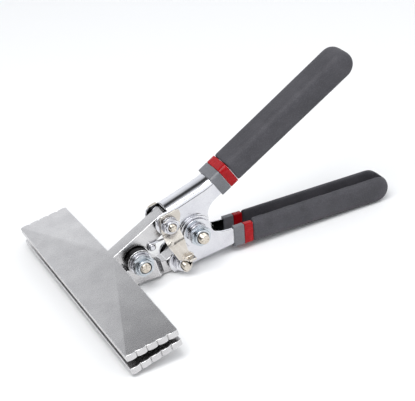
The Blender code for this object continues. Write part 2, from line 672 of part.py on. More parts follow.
def add_grips(lower, mats, axis):
    side = "lower" if lower else "upper"
    add_sleeve(f"{side}_collar", COLLAR, lower, mats["grey"], axis)
    add_sleeve(f"{side}_grip_ring", RING, lower, mats["red"], axis)
    add_sleeve(f"{side}_grip", GRIP, lower, mats["charcoal"], axis, tip=True)


def stand(frame):
    """Tips the tool onto the lower jaw and the lower grip, with its box's bottom centre at the origin."""
    frame.rotation_euler = (0, -math.radians(STAND_TILT), 0)
    bpy.context.view_layer.update()
    graph = bpy.context.evaluated_depsgraph_get()
    corners = []
    for obj in bpy.data.objects:
        if obj.type == "MESH" and not obj.hide_render:
            done = obj.evaluated_get(graph)
            corners += [done.matrix_world @ v.co for v in done.data.vertices]
    low = Vector([min(c[i] for c in corners) for i in range(3)])
    high = Vector([max(c[i] for c in corners) for i in range(3)])
    frame.location = (-(low.x + high.x) / 2, -(low.y + high.y) / 2, -low.z)


def build():
    clear_scene()
    frame, axes = add_axes()
    mats = {
        "steel": material("satin_steel", (0.56, 0.56, 0.56), 0.35, 1.0),
        "zinc": material("bright_zinc", (0.80, 0.81, 0.83), 0.22, 1.0),
        "blue": material("blue_zinc", (0.62, 0.68, 0.74), 0.25, 1.0),
        "yellow": material("yellow_zinc", (0.72, 0.64, 0.52), 0.30, 1.0),
        "nickel": material("warm_nickel", (0.70, 0.67, 0.62), 0.28, 1.0),
        "grey": material("grey_vinyl", (0.20, 0.20, 0.21), 0.45, 0.0),
        "red": material("red_vinyl", (0.55, 0.02, 0.02), 0.30, 0.0),
        "charcoal": material("charcoal_vinyl", (0.10, 0.10, 0.11), 0.60, 0.0),
    }
    add_jaw("upper_jaw", False, mats["steel"], axes["upper_link_axis"])
    add_jaw("lower_jaw", True, mats["steel"], axes["lower_link_axis"])
    add_handle("upper_handle", False, mats["zinc"], axes["handle_axis"])
    add_handle("lower_handle", True, mats["zinc"], axes["handle_axis"])
    for lower in (False, True):
        add_grips(lower, mats, axes["handle_axis"])
    latch_face = -LATCH_LOW - LATCH_SHEET / 2
    add_link_hardware("upper", UPPER_LINK, mats, axes["upper_link_axis"], latch_face)
    add_link_hardware("lower", LOWER_LINK, mats, axes["lower_link_axis"], -CHANNEL_HALF)
    add_pivot_hardware(mats, axes)
    add_latch(mats["nickel"], axes["upper_link_axis"])
    add_spring(mats["zinc"], axes)
    stand(frame)


build()
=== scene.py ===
"""Looks of the hand seamer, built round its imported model.

The tool frame is the one that the tool was designed in: millimetres, with its origin on the jaw
pivot, X from the jaws to the handles, Z towards the upper handle, and the nuts on the -Y side.
"""

import json
import math

import bmesh
import bpy
from mathutils import Matrix, Vector


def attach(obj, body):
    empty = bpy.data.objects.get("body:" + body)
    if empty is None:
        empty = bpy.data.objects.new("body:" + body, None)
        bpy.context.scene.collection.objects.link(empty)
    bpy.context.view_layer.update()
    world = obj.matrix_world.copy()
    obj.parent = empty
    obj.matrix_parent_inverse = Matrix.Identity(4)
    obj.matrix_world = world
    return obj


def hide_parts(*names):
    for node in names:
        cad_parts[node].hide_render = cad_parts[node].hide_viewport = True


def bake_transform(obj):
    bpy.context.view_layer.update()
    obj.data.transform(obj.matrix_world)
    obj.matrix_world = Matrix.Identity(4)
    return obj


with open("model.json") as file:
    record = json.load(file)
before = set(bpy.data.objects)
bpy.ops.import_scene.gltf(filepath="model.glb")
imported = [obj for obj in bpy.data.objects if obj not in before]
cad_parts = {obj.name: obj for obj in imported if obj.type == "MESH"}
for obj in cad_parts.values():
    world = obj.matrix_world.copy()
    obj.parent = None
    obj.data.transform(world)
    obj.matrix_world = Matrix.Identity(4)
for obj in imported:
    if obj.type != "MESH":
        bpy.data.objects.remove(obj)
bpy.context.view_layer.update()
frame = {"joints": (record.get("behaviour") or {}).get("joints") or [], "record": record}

MM = 0.001  # metres in a millimetre
GAP = 0.25  # room between neighbouring pieces
THROUGH = 20  # far enough, either way, for a cut to pass right through
ROUND_STEPS = 96  # sides of the round solids that are cut or joined
WELD = 0.0001  # points nearer to each other than this become one

# Pivots in the tool frame, as (x, z)
HANDLE_PIVOT = (35.9, 0.0)
UPPER_LINK = (22.3, 13.4)
LOWER_LINK = (22.3, -13.4)
JAW_PIVOT = (0.0, 0.0)
SPRING_POST = (10.0, 2.8)

# The straight bar of each handle, as (x, z) where its grip ring starts, and its slope in degrees. The
# lower one is given as if it were on the upper side, and its pieces are flipped.
UPPER_BAR = (61.4, 21.4, 19.3)
LOWER_BAR = (62.7, 18.35, 12.95)

# Camera in the tool frame, with its lens and sensor in millimetres
CAMERA_PLACE = (-133.24, -566.92, 397.27)
CAMERA_RIGHT = (0.85112, -0.45502, -0.26181)
CAMERA_DOWN = (-0.45705, -0.39693, -0.79596)
CAMERA_LENS = 110.7
SENSOR = 36.0


def tool_matrix():
    """Tool frame in millimetres to the model's frame in metres, from the three hinges' places."""
    place = {j["name"]: Vector(j["pos_m"]) for j in frame["joints"]}
    upper, lower = place["upper_jaw_link"], place["lower_jaw_link"]
    x = (place["handle_hinge"] - (upper + lower) / 2).normalized()
    z = (upper - lower).normalized()
    origin = place["handle_hinge"] - x * HANDLE_PIVOT[0] * MM
    turn = Matrix((x, Vector((0, 1, 0)), z)).transposed().to_4x4()
    return Matrix.Translation(origin) @ turn @ Matrix.Scale(MM, 4)


TOOL = tool_matrix()


# ---------------- materials

def new_material(name):
    """A material, its node tree and its shader."""
    mat = bpy.data.materials.new(name)
    mat.use_nodes = True
    return mat, mat.node_tree, mat.node_tree.nodes["Principled BSDF"]


def noise(tree, vector, scale, detail=4.0, rough=0.55):
    """Cloudy noise of one scale, from 0 to 1."""
    tex = tree.nodes.new("ShaderNodeTexNoise")
    for name, value in (("Scale", scale), ("Detail", detail), ("Roughness", rough)):
        tex.inputs[name].default_value = value
    tree.links.new(vector, tex.inputs["Vector"])
    return tex.outputs["Fac"]


def stretched(tree, scale, turn=(0, 0, 0)):
    """Object coordinates, stretched, so that a noise in them runs in streaks."""
    coord = tree.nodes.new("ShaderNodeTexCoord")
    mapping = tree.nodes.new("ShaderNodeMapping")
    mapping.inputs["Scale"].default_value = scale
    mapping.inputs["Rotation"].default_value = turn
    tree.links.new(coord.outputs["Object"], mapping.inputs["Vector"])
    return mapping.outputs["Vector"]


def remap(tree, value, low, high, out_low, out_high):
    """Stretches a value from one range to another, and stops at its ends."""
    node = tree.nodes.new("ShaderNodeMapRange")
    for name, limit in (("From Min", low), ("From Max", high), ("To Min", out_low), ("To Max", out_high)):
        node.inputs[name].default_value = limit
    tree.links.new(value, node.inputs["Value"])
    return node.outputs["Result"]


def mix_colour(tree, factor, a, b):
    """Mixes two colours, each a tuple or a socket. Inputs 6 and 7 are the node's two colours."""
    node = tree.nodes.new("ShaderNodeMix")
    node.data_type = "RGBA"
    for socket, value in ((node.inputs[6], a), (node.inputs[7], b)):
        if isinstance(value, tuple):
            socket.default_value = (*value, 1.0)
        else:
            tree.links.new(value, socket)
    tree.links.new(factor, node.inputs[0])
    return node.outputs[2]


def add_up(tree, a, b, operation="ADD"):
    """Adds or multiplies two sockets."""
    node = tree.nodes.new("ShaderNodeMath")
    node.operation = operation
    tree.links.new(a, node.inputs[0])
    tree.links.new(b, node.inputs[1])
    return node.outputs[0]


def bump(tree, shader, height, strength, distance):
    """Raises a shader's surface by a height."""
    node = tree.nodes.new("ShaderNodeBump")
    node.inputs["Strength"].default_value = strength
    node.inputs["Distance"].default_value = distance
    tree.links.new(height, node.inputs["Height"])
    tree.links.new(node.outputs["Normal"], shader.inputs["Normal"])


GRAIN_SHARE = 0.18  # how much of a metal's tone comes from its finest grain
PAINTED_SHADE_TONE = 0.07  # how much of a metal's colour is left where shade is painted in its recesses
METAL_CLOUD = 90.0  # scale of the slow changes of tone over a metal, and over vinyl
VINYL_CLOUD = 60.0


def metal(name, dark, light, roughness, streak, streak_scale, grain, wear, bump_height):
    """Plated or ground steel: a mottled tone, streaks from the tool that cut it, worn edges, and painted
    shade on the faces marked as shaded recesses.
    """
    mat, tree, shader = new_material(name)
    shader.inputs["Metallic"].default_value = 1.0
    even = stretched(tree, (1, 1, 1))
    lines = stretched(tree, streak_scale)
    cloud = noise(tree, even, METAL_CLOUD, 3.0)
    streaks = noise(tree, lines, 1.0, 6.0, 0.7)
    fine = noise(tree, even, grain, 5.0, 0.6)
    tone = add_up(tree, cloud, remap(tree, streaks, 0.3, 0.7, -streak, streak))
    tone = add_up(tree, tone, remap(tree, fine, 0.3, 0.7, -GRAIN_SHARE, GRAIN_SHARE))
    base = mix_colour(tree, remap(tree, tone, 0.3, 0.7, 0.0, 1.0), dark, light)
    edge = tree.nodes.new("ShaderNodeAttribute")
    edge.attribute_name = "edge"
    worn = add_up(tree, edge.outputs["Fac"], remap(tree, fine, 0.35, 0.65, 0.3, 1.0),
                  "MULTIPLY")
    # painted shade: faces marked as shaded recesses are darkened to a small share of the dark tone
    painted_shade = tree.nodes.new("ShaderNodeAttribute")
    painted_shade.attribute_name = "painted_shade"
    outside = mix_colour(tree, worn, base, wear)
    colour = mix_colour(tree, painted_shade.outputs["Fac"], outside, tuple(c * PAINTED_SHADE_TONE for c in dark))
    tree.links.new(colour, shader.inputs["Base Color"])
    varied = remap(tree, add_up(tree, fine, streaks), 0.6, 1.4,
                   roughness * 0.8, roughness * 1.25)
    smoother = remap(tree, edge.outputs["Fac"], 0.0, 1.0, 1.0, 0.7)
    tree.links.new(add_up(tree, varied, smoother, "MULTIPLY"), shader.inputs["Roughness"])
    height = add_up(tree, remap(tree, streaks, 0.0, 1.0, 0.0, 0.5 + streak), fine)
    bump(tree, shader, height, 0.35, bump_height)
    return mat


def vinyl(name, dark, light, roughness, pebble, pebble_height, coat, gloss=0.5):
    """Dipped vinyl: fine pebbling, faint scuffs and a soft gloss."""
    mat, tree, shader = new_material(name)
    shader.inputs["Coat Weight"].default_value = coat
    shader.inputs["Coat Roughness"].default_value = 0.18
    shader.inputs["Specular IOR Level"].default_value = gloss
    even = stretched(tree, (1, 1, 1))
    cloud = noise(tree, even, VINYL_CLOUD, 4.0)
    grain = noise(tree, even, pebble, 3.0, 0.5)
    scuff = noise(tree, stretched(tree, (120, 900, 300), (0.3, 0.2, 0.5)), 1.0, 7.0, 0.8)
    tone = mix_colour(tree, remap(tree, cloud, 0.35, 0.65, 0.0, 1.0), dark, light)
    speck = remap(tree, add_up(tree, grain, scuff), 0.9, 1.25, 0.0, 0.35)
    lighter = tuple(min(1.0, c * 1.7 + 0.01) for c in light)
    tree.links.new(mix_colour(tree, speck, tone, lighter), shader.inputs["Base Color"])
    varied = remap(tree, scuff, 0.3, 0.7, roughness * 0.85, roughness * 1.15)
    tree.links.new(varied, shader.inputs["Roughness"])
    bump(tree, shader, grain, 0.5, pebble_height)
    return mat


# metal: name, dark, light, roughness, streak, scale of the streaks, grain, worn colour, bump height.
# vinyl: name, dark, light, roughness, pebble, pebble height, coat, gloss.
MATERIALS = {
    "satin_steel": metal("jaw_steel", (0.55, 0.54, 0.545), (0.65, 0.64, 0.64), 0.25, 0.06,
                         (800, 1000, 1000), 2400.0, (0.88, 0.88, 0.88), 0.00004),
    "bright_zinc": metal("handle_zinc", (0.62, 0.62, 0.655), (0.72, 0.72, 0.745), 0.15, 0.10,
                         (200, 200, 200), 1500.0, (0.95, 0.95, 0.95), 0.00002),
    "blue_zinc": metal("nut_zinc", (0.46, 0.50, 0.54), (0.63, 0.67, 0.70), 0.16, 0.20,
                       (300, 2500, 300), 2500.0, (0.90, 0.92, 0.94), 0.00003),
    "yellow_zinc": metal("bolt_zinc", (0.58, 0.52, 0.44), (0.78, 0.73, 0.65), 0.22, 0.25,
                         (400, 1500, 400), 2500.0, (0.85, 0.78, 0.68), 0.00005),
    "warm_nickel": metal("latch_nickel", (0.55, 0.505, 0.45), (0.66, 0.62, 0.565), 0.22, 0.14,
                         (200, 200, 500), 1800.0, (0.92, 0.88, 0.82), 0.00003),
    "grey_vinyl": vinyl("collar_vinyl", (0.125, 0.128, 0.140), (0.155, 0.158, 0.172), 0.40, 1500.0,
                        0.00002, 0.1),
    "red_vinyl": vinyl("ring_vinyl", (0.28, 0.0015, 0.004), (0.36, 0.003, 0.007), 0.26, 1200.0,
                       0.00001, 0.12, 0.15),
    "charcoal_vinyl": vinyl("grip_vinyl", (0.050, 0.049, 0.056), (0.070, 0.068, 0.077), 0.62, 1600.0,
                            0.00014, 0.0, 0.3),
}


# ---------------- making pieces

def placed(name, data):
    """A new object in the scene."""
    obj = bpy.data.objects.new(name, data)
    bpy.context.scene.collection.objects.link(obj)
    return obj


def settled(bm, name):
    """Turns a working mesh into a lasting one."""
    mesh = bpy.data.meshes.new(name)
    bm.to_mesh(mesh)
    bm.free()
    return mesh


def skin(bm, rings, count=None, closed=False):
    """Joins each ring of points to the next with quads, and the last to the first if closed."""
    for here, there in zip(rings, rings[1:] + (rings[:1] if closed else [])):
        for k in range(count or len(here)):
            m = (k + 1) % len(here)
            bm.faces.new((here[k], here[m], there[m], there[k]))


def capped(bm, rings):
    """A solid from its rings of points, closed at both ends."""
    bm.faces.new(rings[0])
    bm.faces.new(rings[-1])
    skin(bm, rings)


def around(centre, radius, angle, y):
    """A place round an axis along Y, from its angle in radians."""
    return centre[0] + radius * math.cos(angle), y, centre[1] + radius * math.sin(angle)


def turned(a, corner, b, steps):
    """Points from a to b, on a curve that turns in place of the corner."""
    places = [k / steps for k in range(steps + 1)]
    curve = [a * (1 - t) ** 2 + corner * 2 * t * (1 - t) + b * t ** 2 for t in places]
    return [(p.x, p.y) for p in curve]


def finish_piece(name, mesh, slot, body, nodes=(), sharp=38.0):
    """Puts a mesh in the scene with its material, on its body, in place of its CAD nodes."""
    creases = [e.index for e in mesh.edges if e.use_edge_sharp]
    mesh.materials.clear()
    mesh.materials.append(MATERIALS[slot])
    mesh.shade_smooth()
    mesh.set_sharp_from_angle(angle=math.radians(sharp))
    for index in creases:
        mesh.edges[index].use_edge_sharp = True
    obj = placed(name, mesh)
    if sharp < 180.0:
        weighted = obj.modifiers.new("weighted", "WEIGHTED_NORMAL")
        weighted.keep_sharp = True
    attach(obj, body)
    if nodes:
        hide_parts(*nodes)


def from_tool(name, bm, slot, body, nodes=(), sharp=38.0):
    """A piece from a mesh that was made in the tool frame."""
    bm.transform(TOOL)
    bmesh.ops.recalc_face_normals(bm, faces=bm.faces)
    finish_piece(name, settled(bm, name), slot, body, nodes, sharp)


def body_of(node):
    """The body that a CAD node belongs to."""
    for body, members in frame["record"]["behaviour"]["bodies"].items():
        if node in members:
            return body
    raise KeyError(node)


def slot_of(node):
    """The material slot of a CAD node."""
    return next(s["material_slot"] for s in frame["record"]["subparts"] if s["node"] == node)


def shaped(node, bm, sharp=38.0):
    """A piece from the tool frame in place of one CAD node, with that node's slot and body."""
    from_tool(f"{node}_shape", bm, slot_of(node), body_of(node), (node,), sharp)


def softened(bm, voxel, rounds):
    """The mesh on a fine even grid, with every edge softened."""
    bmesh.ops.triangulate(bm, faces=bm.faces)
    obj = placed("soft", settled(bm, "soft"))
    remesh = obj.modifiers.new("remesh", "REMESH")
    remesh.mode = "VOXEL"
    remesh.voxel_size = voxel * MM
    smooth = obj.modifiers.new("smooth", "SMOOTH")
    smooth.iterations = rounds
    smooth.factor = 0.5
    bpy.context.view_layer.update()
    done = bpy.data.meshes.new_from_object(obj.evaluated_get(bpy.context.evaluated_depsgraph_get()))
    bpy.data.objects.remove(obj)
    return done


# ---------------- fasteners

HEX_CORNER = 0.985  # share of a hexagon's corner radius that is left when it is blunted
HEX_FACE = 0.97  # radius where a nut's chamfer starts, as a share of half its flats
HEX_CHAMFER = math.radians(28)
NUT_TURN = math.radians(12)
HEAD_TURN = math.radians(5)
COLLAR_SHARE = 0.84  # radius of a lock nut's collar, as a share of half its flats
COLLAR_ROUND = 0.6
LOCK_GAP = math.radians(14)  # opening of a spring washer, and the lean of its cut
LOCK_SLANT = math.radians(9)
STAKE_HEIGHT = 0.32  # height of the marks round a staked bolt's end


def hexagon_radius(angle, flats):
    """Distance from the middle of a hexagon to its edge, with its six corners a little blunted."""
    sixth = math.pi / 3
    off = (angle % sixth) - sixth / 2
    return min(flats / 2 / math.cos(off), flats / math.sqrt(3) * HEX_CORNER)


def hexagon_body(centre, flats, bore, near, far, turn, steps=96):
    """A nut or a bolt's head, chamfered where its flats meet its faces."""
    bm = bmesh.new()
    start = flats / 2 * HEX_FACE
    rings = []
    for i in range(steps):
        a = 2 * math.pi * i / steps
        outer = hexagon_radius(a, flats)
        drop = (outer - start) * math.tan(HEX_CHAMFER)
        profile = [(bore, near + 0.5), (bore + 0.45, near), (start, near), (outer, near + drop),
                   (outer, far - drop), (start, far), (bore, far)]
        rings.append([bm.verts.new(around(centre, r, a + turn, y)) for r, y in profile])
    skin(bm, rings, closed=True)
    bmesh.ops.remove_doubles(bm, verts=bm.verts, dist=WELD)
    return bm


def revolve(bm, centre, profile, steps=64, closed=True):
    """Turns a profile of (radius, y) round a pivot. An open one starts and ends on the axis."""
    rings = []
    for i in range(steps):
        a = 2 * math.pi * i / steps
        rings.append([bm.verts.new(around(centre, r, a, y)) for r, y in profile])
    skin(bm, rings, len(profile) if closed else len(profile) - 1, closed=True)
    return rings


def rounded_ring(inner, outer, low, high, edge):
    """Profile of a flat ring with its four edges rounded."""
    points = []
    corners = ((outer, low, 1, 1), (outer, high, 1, -1), (inner, high, -1, -1), (inner, low, -1, 1))
    for n, (r, y, out, up) in enumerate(corners):
        steps = [math.radians(t) for t in (0, 30, 60, 90)]
        if n % 2:
            steps.reverse()
        for t in steps:
            points.append((r - out * edge * (1 - math.sin(t)), y + up * edge * (1 - math.cos(t))))
    return points


def washer(node, centre, inner, outer, low, high):
    """A flat washer or a spacer."""
    bm = bmesh.new()
    revolve(bm, centre, rounded_ring(inner, outer, low, high, 0.18))
    shaped(node, bm)


def lock_washer(node, centre, inner, outer, low, high):
    """A spring washer: one turn of square wire, cut on the slant."""
    bm = bmesh.new()
    profile = rounded_ring(inner, outer, low, high, 0.2)
    steps = 72
    rings = []
    for i in range(steps + 1):
        ring = []
        for r, y in profile:
            lean = LOCK_SLANT * ((y - low) / (high - low) - 0.5) * (1 - 2 * i / steps)
            a = LOCK_GAP / 2 + (2 * math.pi - LOCK_GAP) * i / steps + lean * (1 if i < steps / 2 else -1)
            ring.append(bm.verts.new(around(centre, r, a, y)))
        rings.append(ring)
    capped(bm, rings)
    shaped(node, bm)


def nut(node, centre, flats, bore, near, far, collar):
    """A lock nut: a hexagon, and the round collar over its insert on the outer side."""
    middle = near + collar
    bm = hexagon_body(centre, flats, bore, middle, far, NUT_TURN)
    radius = flats / 2 * COLLAR_SHARE
    edge = COLLAR_ROUND
    ring = [(radius, middle + 0.1), (radius, near + edge)]
    ring += arc((radius - edge, near + edge), edge, 0, -90, 6)
    ring += [(bore + 0.3, near), (bore, near + 0.2), (bore, middle + 0.1)]
    revolve(bm, centre, ring)
    shaped(node, bm, sharp=24.0)


def thread_radius(shank, depth, pitch, turn, y, fade):
    """Radius of a screw thread at a place, where fade takes it down to a plain rod."""
    t = (y / pitch + turn) % 1.0
    return shank - depth * fade * abs(2 * t - 1) ** 1.2


def bolt(node, centre, shank, flats, head_low, head_high, end, pitch, thread_from):
    """A bolt with a chamfered head, a threaded end and a staked face on that end."""
    steps = 72
    bm = bmesh.new()
    depth = pitch * 0.5
    ys = [end + 0.45]
    while ys[-1] < thread_from:
        ys.append(ys[-1] + pitch / 9)
    rings = []
    cap = [(0.30, -0.05), (0.55, -0.02), (0.78, 0.0), (0.9, 0.12)]
    for share, up in cap:
        ring = []
        for i in range(steps):
            a = 2 * math.pi * i / steps
            mark = max(0.0, math.cos(4 * a + 0.6)) ** 6 * STAKE_HEIGHT * (1 - abs(share - 0.5) * 1.6)
            r = (shank - depth * 0.6) * share
            ring.append(bm.verts.new(around(centre, r, a, end + max(0.0, up + mark))))
        rings.append(ring)
    for y in ys + [head_low + 0.3]:
        ring = []
        for i in range(steps):
            turn = i / steps
            fade = min(1.0, max(0.0, (thread_from - y) / pitch))
            entry = min(1.0, (y - end) / (pitch * 0.9))
            r = thread_radius(shank, depth, pitch, turn, y, fade)
            r = min(r, shank - depth * (1 - entry))
            ring.append(bm.verts.new(around(centre, r, 2 * math.pi * turn, y)))
        rings.append(ring)
    skin(bm, rings)
    middle = bm.verts.new((centre[0], end + 0.12, centre[1]))
    for k in range(steps):
        bm.faces.new((rings[0][k], rings[0][(k + 1) % steps], middle))
    bm.faces.new(rings[-1])
    head = hexagon_body(centre, flats, 0.4, head_low, head_high, HEAD_TURN)
    mesh = settled(head, "head")
    bm.from_mesh(mesh)
    bpy.data.meshes.remove(mesh)
    plug = revolve(bm, centre, [(0.0, head_high - 0.25), (0.9, head_high - 0.25),
                                (flats / 2 * 0.8, head_high - 0.1), (flats / 2 * 0.8, head_high - 0.6),
                                (0.0, head_high - 0.6)], closed=False)
    bmesh.ops.remove_doubles(bm, verts=[v for ring in plug for v in ring], dist=WELD)
    shaped(node, bm, sharp=30.0)


# ---------------- latch and spring

LATCH_SHEET = 1.2
LATCH_LOW = 8.25  # how far out the sheet's middle is at its pivot, and past its step
LATCH_HIGH = 12.95
LATCH_STEP = (-5.3, -9.7)  # where the step starts and ends, below the pivot
LATCH_FOLD = 1.5
LATCH_NOTCH = 2.65  # radius of the hook's slot, the way that it opens, and its length
LATCH_MOUTH = 141.0
LATCH_SLOT = 12
LATCH_BORE = 2.4
LATCH_BLANK = 15  # half the width of the sheet that the latch is cut from
LATCH_CORNER = 1.6
LATCH_OUTLINE = [(-3.9, 5.3), (-2.9, 6.2), (6.9, 6.2), (8.2, 5.2), (8.4, 2.6), (4.6, -6.2), (4.3, -19.0),
                 (6.8, -21.6), (6.8, -23.6), (4.6, -26.0), (3.4, -29.4), (0.8, -31.2), (-0.9, -30.9),
                 (-2.2, -29.6), (-2.2, -23.0), (-3.9, -16.0), (-5.9, -9.6), (-5.3, -2.0)]
THUMB_TAB = (2.0, 6.3, -22.8, 4.6)  # left, right and level from the pivot, and reach
GROOVE = ((-1.4, -11.9), (2.0, -21.4), 1.5)  # its two ends, relative to the pivot, and its radius
GROOVE_DEPTH = 0.5
PIP_HEIGHT = 0.45
PIP = (-3.2, -9.4, 0.95)  # place and radius of the raised pip beside the groove


def arc(centre, radius, start, end, steps):
    """Points along an arc, between two angles in degrees."""
    angles = [math.radians(start + (end - start) * i / steps) for i in range(steps + 1)]
    return [(centre[0] + radius * math.cos(a), centre[1] + radius * math.sin(a)) for a in angles]


def circle(centre, radius, steps):
    """Points round a circle."""
    return arc(centre, radius, 0, 360 - 360 / steps, steps - 1)


def rounded(points, radius, steps=5):
    """A closed outline with each of its corners turned into a small arc."""
    out = []
    count = len(points)
    for i in range(count):
        before, here, after = (Vector(points[(i + k) % count]) for k in (-1, 0, 1))
        into, away = before - here, after - here
        reach = min(radius, into.length * 0.45, away.length * 0.45)
        out += turned(here + into.normalized() * reach, here, here + away.normalized() * reach, steps)
    return out


def prism(outline, low, high, low_outline=None):
    """A solid with the outline in XZ, from y = low to y = high. It tapers if low has its own outline."""
    bm = bmesh.new()
    near = [bm.verts.new((x, low, z)) for x, z in low_outline or outline]
    far = [bm.verts.new((x, high, z)) for x, z in outline]
    capped(bm, [near, far])
    bmesh.ops.recalc_face_normals(bm, faces=bm.faces)
    return bm


def combined(first, steps):
    """Applies cuts and joins to a mesh, exactly, and gives the result."""
    made = []

    def hold(bm, name):
        bmesh.ops.recalc_face_normals(bm, faces=bm.faces)
        made.append(placed(name, settled(bm, name)))
        return made[-1]

    base = hold(first, "work")
    for operation, bm in steps:
        modifier = base.modifiers.new(operation, "BOOLEAN")
        modifier.operation = operation
        modifier.solver = "EXACT"
        modifier.object = hold(bm, "work_tool")
    bpy.context.view_layer.update()
    mesh = base.evaluated_get(bpy.context.evaluated_depsgraph_get()).to_mesh()
    result = bmesh.new()
    result.from_mesh(mesh)
    for obj in made:
        bpy.data.objects.remove(obj)
    return result


def broken_edges(bm, width, segments, angle):
    """Bevels a mesh's sharp edges and marks them as worn."""
    layer = bm.faces.layers.float.get("edge") or bm.faces.layers.float.new("edge")
    bmesh.ops.remove_doubles(bm, verts=bm.verts, dist=0.002)
    bmesh.ops.dissolve_limit(bm, angle_limit=math.radians(1.0), verts=bm.verts, edges=bm.edges)
    edges = [e for e in bm.edges if len(e.link_faces) == 2
             and e.calc_face_angle(0.0) > math.radians(angle)]
    done = bmesh.ops.bevel(bm, geom=edges, offset=width, segments=segments, profile=0.5,
                           affect="EDGES", clamp_overlap=False)
    for face in done["faces"]:
        face[layer] = 1.0


def mark_painted_shade(bm, test):
    """Marks the faces that get painted shade, darkened as if in shadow, by a test on their middle and normal
    in the tool frame.
    """
    layer = bm.faces.layers.float.get("painted_shade") or bm.faces.layers.float.new("painted_shade")
    bmesh.ops.recalc_face_normals(bm, faces=bm.faces)
    for face in bm.faces:
        if test(face.calc_center_median(), face.normal):
            face[layer] = 1.0


def latch_profile():
    """Centre line of the latch's sheet, seen edge on, as (y, z) below the pivot, with rounded folds."""
    top, low = 9.0, -34.0
    points = [(-LATCH_LOW, top), (-LATCH_LOW, LATCH_STEP[0]), (-LATCH_HIGH, LATCH_STEP[1]),
              (-LATCH_HIGH, low)]
    line = [points[0]]
    for i in (1, 2):
        before, here, after = (Vector(points[i + k]) for k in (-1, 0, 1))
        line += turned(here + (before - here).normalized() * LATCH_FOLD, here,
                       here + (after - here).normalized() * LATCH_FOLD, 8)
    return line + [points[-1]]


def latch():
    """The bent plate: its side profile drawn out, cut to its outline, with its slot, tab and marks."""
    x, z = UPPER_LINK
    line = [Vector(p) for p in latch_profile()]
    inner, outer = [], []
    for i, p in enumerate(line):
        ahead = (line[min(i + 1, len(line) - 1)] - line[max(i - 1, 0)]).normalized()
        side = Vector((-ahead.y, ahead.x)) * LATCH_SHEET / 2
        inner.append(p + side)
        outer.append(p - side)
    loop = inner + outer[::-1]
    bm = bmesh.new()
    left = [bm.verts.new((x - LATCH_BLANK, p.x, z + p.y)) for p in loop]
    right = [bm.verts.new((x + LATCH_BLANK, p.x, z + p.y)) for p in loop]
    capped(bm, [left, right])
    outline = rounded([(x + dx, z + dz) for dx, dz in LATCH_OUTLINE], LATCH_CORNER)
    mouth = math.radians(LATCH_MOUTH)
    far = (LOWER_LINK[0] + LATCH_SLOT * math.cos(mouth), LOWER_LINK[1] + LATCH_SLOT * math.sin(mouth))
    slot = arc(LOWER_LINK, LATCH_NOTCH, LATCH_MOUTH + 90, LATCH_MOUTH + 270, 20)
    slot += arc(far, LATCH_NOTCH, LATCH_MOUTH - 90, LATCH_MOUTH + 90, 8)
    left_x, right_x, level, reach = THUMB_TAB
    half = LATCH_SHEET / 2
    tab = [(x + left_x, z + level - half), (x + right_x, z + level - half),
           (x + right_x, z + level + half), (x + left_x, z + level + half)]
    face = -LATCH_HIGH - LATCH_SHEET / 2
    a, b, radius = GROOVE
    lean = math.degrees(math.atan2(b[1] - a[1], b[0] - a[0]))
    groove = arc((x + a[0], z + a[1]), radius, lean + 90, lean + 270, 16)
    groove += arc((x + b[0], z + b[1]), radius, lean - 90, lean + 90, 16)
    pip = circle((x + PIP[0], z + PIP[1]), PIP[2], 24)
    bm = combined(bm, [("INTERSECT", prism(outline, -THROUGH, 0)), ("DIFFERENCE", prism(slot, -THROUGH, 0)),
                       ("DIFFERENCE", prism(groove, face - 1, face + GROOVE_DEPTH)),
                       ("UNION", prism(pip, face - PIP_HEIGHT, face + 0.8)),
                       ("UNION", prism(tab, -LATCH_HIGH - reach, -LATCH_HIGH)),
                       ("DIFFERENCE", prism(circle(UPPER_LINK, LATCH_BORE, 40), -THROUGH, 0))])
    broken_edges(bm, width=0.28, segments=3, angle=40.0)
    from_tool("latch_plate", bm, "warm_nickel", "latch", ("latch",))


WIRE = 0.6  # radius of the spring's wire
COIL_RADIUS = 5.15
COIL_TURNS = 4
COIL_HALF = 3.4
LEG_Y = 5.0  # how far to the near side the leg runs
LEG_START = 4.5  # where the leg leaves the coil, and where it reaches the post
POST_RADIUS = 1.1
POST_HEAD = 0.9  # height of the head
POST_ROOT = -4.45


def smooth_line(points, per_span):
    """A Catmull-Rom curve through the points."""
    out = []
    for i in range(len(points) - 1):
        a = points[max(i - 1, 0)]
        b, c = points[i], points[i + 1]
        d = points[min(i + 2, len(points) - 1)]
        for k in range(per_span):
            t = k / per_span
            out.append(0.5 * (2 * b + (c - a) * t + (2 * a - 5 * b + 4 * c - d) * t ** 2
                              + (3 * b - a - 3 * c + d) * t ** 3))
    return out + [points[-1]]


def tube(bm, points, radius, sides):
    """Round wire along a line of points, with closed ends."""
    rings = []
    side = Vector((0, 0, 1))
    for i, point in enumerate(points):
        ahead = (points[min(i + 1, len(points) - 1)] - points[max(i - 1, 0)]).normalized()
        side = (side - ahead * side.dot(ahead)).normalized()
        other = ahead.cross(side)
        rings.append([bm.verts.new(point + radius * (math.cos(a) * side + math.sin(a) * other))
                      for a in (2 * math.pi * k / sides for k in range(sides))])
    capped(bm, rings)


